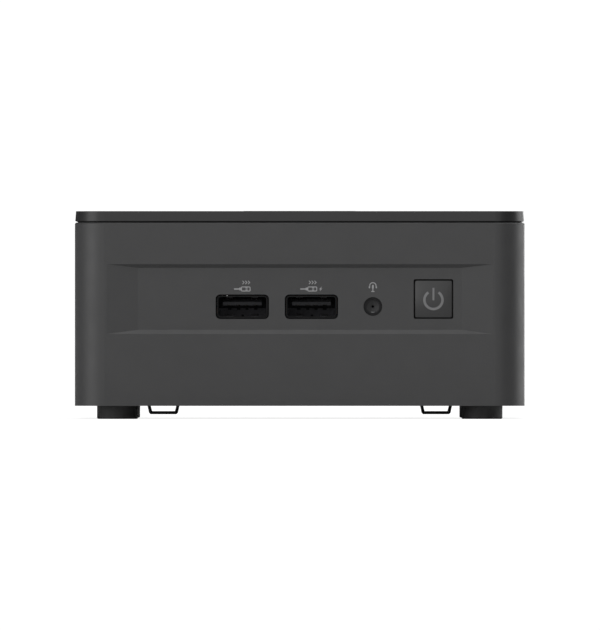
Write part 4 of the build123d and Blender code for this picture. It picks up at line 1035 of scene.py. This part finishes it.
class MINIPC_OT_drive_label(bpy.types.Operator):
    """Stick a plain blank label on the drive"""

    bl_idname = "minipc.drive_label"
    bl_label = "Make the drive label"

    def execute(self, context):
        low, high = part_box("drive")
        x, y = (low.x + high.x) / 2, (low.y + high.y) / 2
        sheet = prism(rounded_outline((LABEL_SHIFT, 0.0), LABEL_SIZE, 2.0, 6), LABEL_LIFT,
                      facing_up(x, y, high.z))
        stripe = prism(rounded_outline((LABEL_SHIFT, STRIPE_UP), STRIPE_SIZE, 1.0, 4), STRIPE_LIFT,
                       facing_up(x, y, high.z + LABEL_LIFT * MM))
        paper, grey = ink("label_paper", LABEL_PAPER), ink("label_grey", STRIPE_GREY)
        solid("drive_label", paper, "component_grey", "cover_assembly", sheet)
        solid("drive_label_stripe", grey, "component_grey", "cover_assembly", stripe)
        return {"FINISHED"}


# ---- studio ----
FRAME_HEIGHT = 163.72 * MM
SENSOR = 36.0
CAMERA_SIDE = 0.06 * MM
CAMERA_UP = 27.04 * MM
CAMERA_CLIP = 30.0
# The floor is a mid grey to the object; the lens sees a darker base with a white glow added.
FLOOR_SIZE = 1.8
FLOOR_GREY = 0.50
FLOOR_SEEN = 0.22
FLOOR_LIFT = 0.84
SEEN_WHITE = 1.05
# Each dim side of the room: its compass side, where it starts and is full, and its depth.
DARK_SPOTS = ((57.0, 0.60, 0.95, 0.97), (-145.0, 0.15, 0.80, 0.95))
# Each light: its setting, side, rise, distance and size.
LIGHTS = (("overhead", 0, 90, 0.9, (1.4, 1.4)), ("key", -52, 12, 0.8, (0.5, 0.5)),
          ("rim", 158, 10, 0.8, (0.25, 0.4)), ("side", 110, 8, 0.8, (0.5, 0.5)),
          ("back", 180, 55, 0.9, (0.8, 0.5)))


def compass(side, above=0.0):
    """A direction: side is 0 in front and grows to the right, above is the rise, in degrees."""
    a, e = math.radians(side), math.radians(above)
    return Vector((math.sin(a) * math.cos(e), -math.cos(a) * math.cos(e), math.sin(e)))


def surroundings(world):
    """A white surround for the lens; for the object a soft even room with two dim sides."""
    world.use_nodes = True
    tree = world.node_tree
    tree.nodes.clear()
    add, link = tree.nodes.new, tree.links.new
    place = add("ShaderNodeTexCoord").outputs["Generated"]
    base = add("ShaderNodeValue")
    base.outputs["Value"].default_value = studio().fill
    level = base.outputs["Value"]
    for side, start, end, depth in DARK_SPOTS:
        toward = add("ShaderNodeVectorMath")
        toward.operation = "DOT_PRODUCT"
        toward.inputs[1].default_value = compass(side)
        link(place, toward.inputs[0])
        shade = add("ShaderNodeMapRange")
        shade.interpolation_type = "SMOOTHSTEP"
        limits = {"From Min": start, "From Max": end, "To Min": 1.0, "To Max": 1.0 - depth}
        for name, value in limits.items():
            shade.inputs[name].default_value = value
        link(toward.outputs["Value"], shade.inputs["Value"])
        both = add("ShaderNodeMath")
        both.operation = "MULTIPLY"
        link(level, both.inputs[0])
        link(shade.outputs["Result"], both.inputs[1])
        level = both.outputs["Value"]
    light = add("ShaderNodeBackground")
    light.inputs["Color"].default_value = WHITE
    link(level, light.inputs["Strength"])
    seen = add("ShaderNodeBackground")
    seen.inputs["Color"].default_value = WHITE
    seen.inputs["Strength"].default_value = SEEN_WHITE
    mix = add("ShaderNodeMixShader")
    link(add("ShaderNodeLightPath").outputs["Is Camera Ray"], mix.inputs["Fac"])
    link(light.outputs["Background"], mix.inputs[1])
    link(seen.outputs["Background"], mix.inputs[2])
    link(mix.outputs["Shader"], add("ShaderNodeOutputWorld").inputs["Surface"])


def softbox(name, side, above, away, size, power, target):
    """A rectangular area light that faces the target, placed as compass() says."""
    data = bpy.data.lights.new(name, "AREA")
    data.shape = "RECTANGLE"
    data.size, data.size_y = size
    data.energy = power
    lamp = bpy.data.objects.new(name, data)
    bpy.context.scene.collection.objects.link(lamp)
    way = compass(side, above)
    lamp.location = target + way * away
    lamp.rotation_mode = "QUATERNION"
    lamp.rotation_quaternion = way.to_track_quat("Z", "Y")
    lamp.visible_camera = False


class MINIPC_OT_stage(bpy.types.Operator):
    """Set up the floor, the surroundings, the lights and the long lens"""

    bl_idname = "minipc.stage"
    bl_label = "Set up the studio"

    def execute(self, context):
        scene = context.scene
        low, high = CAD_BOX
        half = FLOOR_SIZE / 2
        mesh = bpy.data.meshes.new("floor")
        corners = [(-half, -half, 0), (half, -half, 0), (half, half, 0), (-half, half, 0)]
        mesh.from_pydata(corners, [], [(0, 1, 2, 3)])
        pale = Finish("floor_pale", (FLOOR_SEEN,) * 3, 0.7, specular=0.0)
        pale.vary_roughness(pale.noise(0.4, 2.0), 0.66, 0.74)
        lens = pale.add("ShaderNodeLightPath").outputs["Is Camera Ray"]
        pale.two_colours(lens, (FLOOR_GREY,) * 3, pale.base, 0.0, 1.0)
        pale.shader.inputs["Emission Color"].default_value = WHITE
        pale.link(pale.maths("MULTIPLY", lens, FLOOR_LIFT), pale.shader.inputs["Emission Strength"])
        mesh.materials.append(pale.material)
        floor = bpy.data.objects.new("floor", mesh)
        scene.collection.objects.link(floor)
        world = bpy.data.worlds.new("studio")
        scene.world = world
        surroundings(world)
        target = (low + high) / 2
        for name, side, above, away, size in LIGHTS:
            softbox(name, side, above, away, size, getattr(studio(), name), target)
        data = bpy.data.cameras.new("camera")
        data.lens = studio().lens
        data.sensor_width = SENSOR
        data.clip_end = CAMERA_CLIP
        away = data.lens * FRAME_HEIGHT / SENSOR
        camera = bpy.data.objects.new("camera", data)
        camera.location = (CAMERA_SIDE, low.y - away, CAMERA_UP)
        camera.rotation_euler = (math.radians(90), 0.0, 0.0)
        scene.collection.objects.link(camera)
        scene.camera = camera
        scene.view_settings.view_transform = "Standard"
        return {"FINISHED"}


PIECE_OPERATORS = (
    MINIPC_OT_case, MINIPC_OT_cover, MINIPC_OT_front, MINIPC_OT_rear, MINIPC_OT_board, MINIPC_OT_cooling,
    MINIPC_OT_socket_fittings, MINIPC_OT_jack_fittings, MINIPC_OT_front_marks, MINIPC_OT_rear_marks,
    MINIPC_OT_board_chips, MINIPC_OT_drive_label, MINIPC_OT_stage)


class MINIPC_PT_panel(bpy.types.Panel):
    """Lists the settings and every making step"""

    bl_idname = "MINIPC_PT_panel"
    bl_label = "Mini PC"
    bl_space_type = "VIEW_3D"
    bl_region_type = "UI"
    bl_category = "Mini PC"

    def draw(self, context):
        scene = context.scene
        for group in (scene.mini_pc_sizes, scene.mini_pc_colours, scene.mini_pc_studio):
            box = self.layout.box()
            for name in group.__annotations__:
                box.prop(group, name)
        for operator in PIECE_OPERATORS:
            self.layout.operator(operator.bl_idname)


CLASSES = (MiniPcSizes, MiniPcColours, MiniPcStudio, *PIECE_OPERATORS, MINIPC_PT_panel)


def register():
    for item in CLASSES:
        bpy.utils.register_class(item)
    bpy.types.Scene.mini_pc_sizes = PointerProperty(type=MiniPcSizes)
    bpy.types.Scene.mini_pc_colours = PointerProperty(type=MiniPcColours)
    bpy.types.Scene.mini_pc_studio = PointerProperty(type=MiniPcStudio)


def unregister():
    for name in ("mini_pc_sizes", "mini_pc_colours", "mini_pc_studio"):
        delattr(bpy.types.Scene, name)
    for item in reversed(CLASSES):
        bpy.utils.unregister_class(item)


def main():
    register()
    bpy.ops.minipc.case()
    bpy.ops.minipc.cover()
    bpy.ops.minipc.front()
    bpy.ops.minipc.rear()
    bpy.ops.minipc.board()
    bpy.ops.minipc.cooling()
    bpy.ops.minipc.socket_fittings()
    bpy.ops.minipc.jack_fittings()
    bpy.ops.minipc.front_marks()
    bpy.ops.minipc.rear_marks()
    bpy.ops.minipc.board_chips()
    bpy.ops.minipc.drive_label()
    bpy.ops.minipc.stage()


if __name__ == "__main__":
    main()
